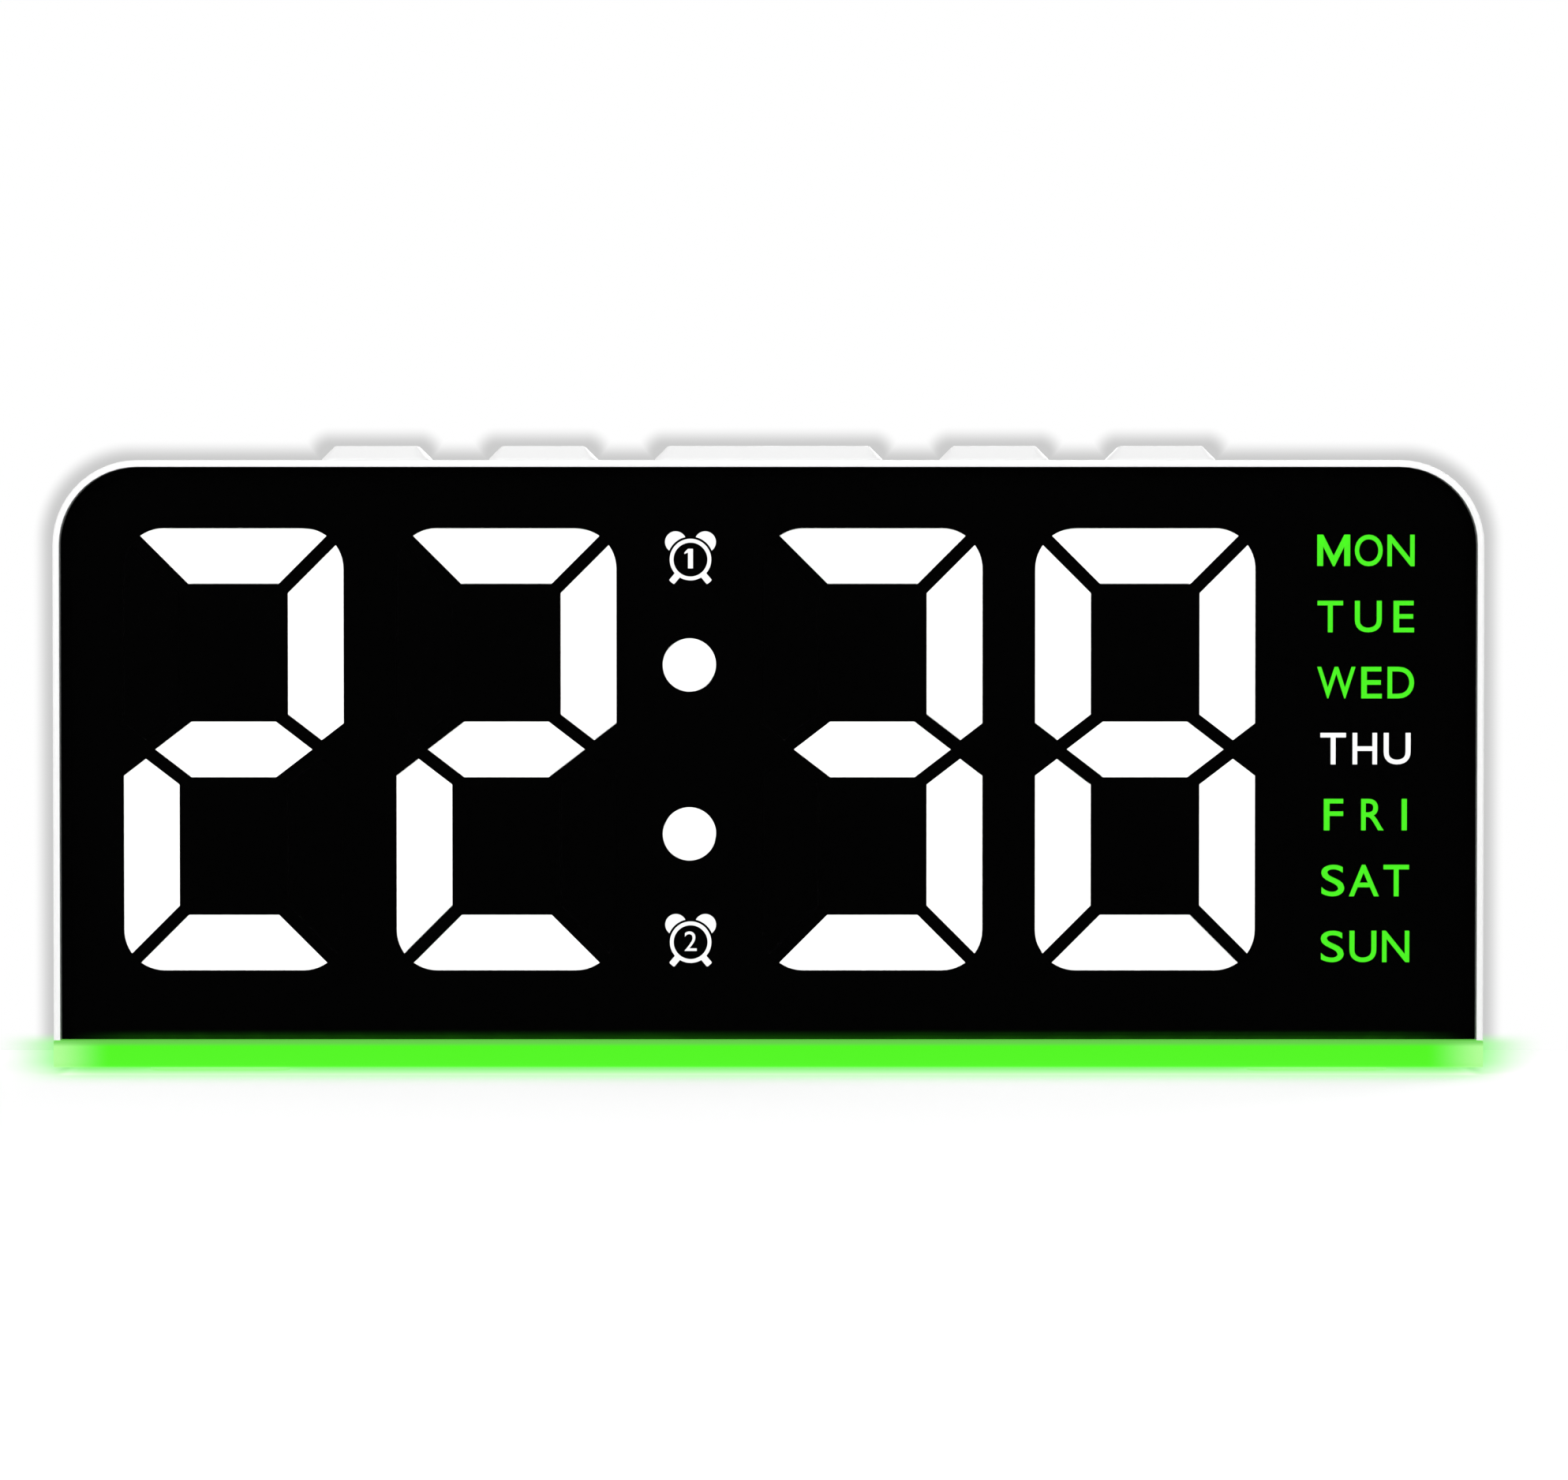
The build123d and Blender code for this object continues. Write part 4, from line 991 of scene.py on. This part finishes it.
class CLOCK_OT_build_stage(bpy.types.Operator):
    """Lay the floor, set the lamps and the sky, and place the camera"""

    bl_idname = "clock.build_stage"
    bl_label = "Build Stage"

    ground_size = 5.0  # of the floor and the wall
    outline_blur = 0.0015  # of the clock's outline on the floor
    front_cover = 0.0025  # behind the front, where the floor is fully covered
    # The bar's green light on the floor and the wall is painted, not cast.
    glow_level = 0.97  # of the bar's colour, where its light is painted
    glow_start = 0.016  # ahead of the front
    glow_full = 0.004  # behind the clock's middle
    glow_under = 0.012  # where it ends under the clock, behind the middle
    glow_behind = 0.007  # where it ends on the floor behind the wall
    glow_on_wall = (0.0006, 0.0022)  # heights where it starts to fade, and ends
    spill_narrowing = 0.12  # for each unit of length ahead of the wall
    dark_ahead = (0.02, 0.05)  # where the floor turns dark, ahead of the middle
    dark_card = (0.72, 0.9)  # how squarely a mirrored ray has to face it
    casing_corner = 0.0095
    key_corner = 0.0012
    shade_width = 0.0024
    aim = Vector((0.0, 0.0, 0.035))  # what the lamps face

    # Each lamp's place, width and share of the key lamp's power
    lamps = {
        "Key lamp": ((-0.62, -0.9, 0.6), 0.9, 1.0),
        "Fill lamp": ((0.85, -0.65, 0.45), 0.8, 0.49),
        "Rear lamp": ((0.35, 1.0, 0.45), 0.9, 0.72),
    }

    def execute(self, context):
        stage = context.scene.clock_stage
        glow_color = context.scene.clock_display.bar_color
        self.floor(stage.floor_color, glow_color)
        self.backdrop(glow_color)
        self.sky(context, stage.sky_light)
        for name, (place, size, share) in self.lamps.items():
            self.lamp(name, place, size, stage.lamp_power * share)
        self.camera(context)
        context.scene.view_settings.view_transform = "Standard"
        return {"FINISHED"}

    def floor(self, color, glow_color):
        """A wide floor, with the bar's green light painted round the front of the clock and
        painted light in the clock's shadow under it.
        """
        deselect()
        bpy.ops.mesh.primitive_plane_add(size=self.ground_size, location=(0.0, 0.0, 0.0))
        floor = bpy.context.object
        floor.name = "floor"
        material, tree = new_material("Pale floor")
        across, along, _ = tree.axes()
        front = cad_box[0].y
        side = cad_box[1].x
        inside = 1.0 - tree.rise(across.absolute(), side - self.outline_blur, side)
        covered = tree.rise(along, front - self.outline_blur, front + self.front_cover) * inside
        spent = inside * tree.rise(along, 0.0, self.glow_under)
        behind = tree.rise(along, backdrop_y, backdrop_y + self.glow_behind)
        near = tree.rise(along, front - self.glow_start, self.glow_full)
        painted_spill = self.painted_spill(tree, across, backdrop_y - along)
        # The bar's green light is painted on the floor, fading ahead, past the bar's ends, under
        # the clock and behind the wall.
        glow = near * painted_spill * (1.0 - spent) * (1.0 - behind)
        seen, mirrored = tree.rays()
        # The floor ahead is dark in mirrors, so that the lens stays black.
        dark = mirrored * tree.rise(0.0 - along, *self.dark_ahead)
        grain = tree.noise(0.003, 3.0)
        pale = tree.mix(grain, scaled(color, 0.985), color)
        # The painted light tints the floor's colour green.
        lit = tree.mix(glow, pale, scaled(glow_color, 0.1))
        # Painted light under the clock fills the shadow that it casts there.
        white_and_painted_fill = tree.mix(covered, (0.38, 0.38, 0.38), (0.9, 0.9, 0.9))
        diffuse = tree.node(
            "ShaderNodeBsdfDiffuse", {}, {"Color": tree.mix(dark, lit, (0.0, 0.0, 0.0))}
        )
        emission = tree.node(
            "ShaderNodeEmission",
            {},
            {
                "Color": tree.mix(glow, white_and_painted_fill, scaled(glow_color, self.glow_level)),
                "Strength": seen + mirrored * (1.0 - dark),
            },
        )
        tree.node_output(tree.node("ShaderNodeAddShader", {}, {0: diffuse, 1: emission}))
        floor.data.materials.append(material)

    def painted_spill(self, tree, across, ahead=0.0):
        """Where the bar's light is painted past its ends, from 1 to 0, narrower ahead of the wall.
        """
        return 1.0 - tree.rise(across.absolute() + self.spill_narrowing * ahead, *spill_fade)

    def backdrop(self, glow_color):
        """A white wall close behind the clock, seen only from its front, with painted shade and
        painted bar light.
        """
        deselect()
        bpy.ops.mesh.primitive_plane_add(
            size=self.ground_size,
            location=(0.0, backdrop_y, self.ground_size / 2),
            rotation=(pi / 2, 0.0, 0.0),
        )
        backdrop = bpy.context.object
        backdrop.name = "backdrop"
        for ray in ("diffuse", "glossy", "transmission", "shadow"):
            setattr(backdrop, "visible_" + ray, False)
        material, tree = new_material("White backdrop")
        across, up, _ = tree.axes()
        height = up + self.ground_size / 2
        white = (1.0, 1.0, 1.0)
        shaded = tree.mix(self.shade(tree, across, height), white, (0.6, 0.6, 0.6))
        # The bar's green light is painted along the wall's foot.
        foot = 1.0 - tree.rise(height, *self.glow_on_wall)
        green = tree.mix(self.painted_spill(tree, across), white, scaled(glow_color, self.glow_level))
        shine = tree.node("ShaderNodeEmission", {}, {"Color": tree.mix(foot, shaded, green)})
        clear = tree.node("ShaderNodeBsdfTransparent", {}, {})
        behind = tree.node("ShaderNodeNewGeometry", {}, {}, "Backfacing")
        tree.node_output(tree.node("ShaderNodeMixShader", {}, {0: behind, 1: shine, 2: clear}))
        backdrop.data.materials.append(material)

    def shade(self, tree, across, height):
        """The pale shade round the clock, painted on the wall.

        The casing and each key is a box with round top corners, drawn out from a
        fixed point in front of the clock as its shadow would be.
        """
        distances = []
        outlines = [(*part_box("housing"), self.casing_corner)]
        for name in key_names:
            low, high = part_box(name + "_key")
            flange = Vector((key_flange, key_flange, 0.0))
            outlines.append((low + flange, high - flange, self.key_corner))
        for low, high, radius in outlines:
            growth = (backdrop_y - eye.y) / (low.y - eye.y)
            middle = eye.x + ((low.x + high.x) / 2 - eye.x) * growth
            half = (high.x - low.x) / 2 * growth - radius
            top = eye.z + (high.z - eye.z) * growth - radius
            out = ((across - middle).absolute() - half).largest(0.0)
            above = (height - top).largest(0.0)
            distances.append((out * out + above * above).root() - radius)
        nearest = distances[0]
        for distance in distances[1:]:
            nearest = nearest.smallest(distance)
        return 1.0 - tree.rise(nearest, 0.0, self.shade_width)

    def sky(self, context, strength):
        """White to the camera and in mirrors, but for a dark card behind the camera."""
        world = bpy.data.worlds.new("Studio")
        context.scene.world = world
        tree = Tree(world)
        seen, mirrored = tree.rays()
        _, along, _ = tree.axes("Generated")
        card = tree.rise(0.0 - along, *self.dark_card)
        plain = 1.0 - (seen + mirrored).smallest(1.0)
        light = seen + mirrored * (1.0 - card) + plain * strength
        background = tree.node(
            "ShaderNodeBackground", {}, {"Color": (1.0, 1.0, 1.0, 1.0), "Strength": light}
        )
        tree.node_output(background, "ShaderNodeOutputWorld")

    def lamp(self, name, place, size, power):
        """A lamp that faces the clock."""
        deselect()
        away = Vector(place) - self.aim
        bpy.ops.object.light_add(type="AREA", location=place)
        lamp = bpy.context.object
        lamp.name = name
        lamp.data.size = size
        lamp.data.energy = power
        lamp.rotation_euler = away.to_track_quat("Z", "Y").to_euler()

    def camera(self, context):
        """A long lens in front of the clock, a little above its middle."""
        pitch = atan2(view_height - view_centre.z, view_distance)
        bpy.ops.object.camera_add(location=eye, rotation=(pi / 2 - pitch, 0.0, 0.0))
        camera = context.object
        camera.data.lens = view_lens
        camera.data.sensor_width = view_sensor
        camera.data.sensor_fit = "HORIZONTAL"
        camera.data.clip_start = 0.01
        camera.data.clip_end = 50.0
        context.scene.camera = camera


class VIEW3D_PT_clock(bpy.types.Panel):
    """The clock's settings and the steps that finish it"""

    bl_label = "Alarm Clock"
    bl_space_type = "VIEW_3D"
    bl_region_type = "UI"
    bl_category = "Clock"

    def draw(self, context):
        scene = context.scene
        shown = {
            "Finishes": scene.clock_finish,
            "Display": scene.clock_display,
            "Stage": scene.clock_stage,
        }
        for title, group in shown.items():
            box = self.layout.box()
            box.label(text=title)
            for name in group.__annotations__:
                box.prop(group, name)
        for step in steps:
            self.layout.operator(step.bl_idname)


steps = (
    CLOCK_OT_finish_casing,
    CLOCK_OT_finish_keys,
    CLOCK_OT_finish_front,
    CLOCK_OT_light_display,
    CLOCK_OT_write_weekdays,
    CLOCK_OT_draw_alarm_symbols,
    CLOCK_OT_light_foot_bar,
    CLOCK_OT_finish_electronics,
    CLOCK_OT_mark_battery_bay,
    CLOCK_OT_build_stage,
)
groups = {
    "clock_finish": ClockFinishProperties,
    "clock_display": ClockDisplayProperties,
    "clock_stage": ClockStageProperties,
}


def register():
    for kind in (*groups.values(), *steps, VIEW3D_PT_clock):
        bpy.utils.register_class(kind)
    for name, kind in groups.items():
        setattr(bpy.types.Scene, name, PointerProperty(type=kind))


def unregister():
    for name in groups:
        delattr(bpy.types.Scene, name)
    for kind in reversed((*groups.values(), *steps, VIEW3D_PT_clock)):
        bpy.utils.unregister_class(kind)


def main():
    register()
    bpy.ops.clock.finish_casing()
    bpy.ops.clock.finish_keys()
    bpy.ops.clock.finish_front()
    bpy.ops.clock.light_display()
    bpy.ops.clock.write_weekdays()
    bpy.ops.clock.draw_alarm_symbols()
    bpy.ops.clock.light_foot_bar()
    bpy.ops.clock.finish_electronics()
    bpy.ops.clock.mark_battery_bay()
    bpy.ops.clock.build_stage()


if __name__ == "__main__":
    main()
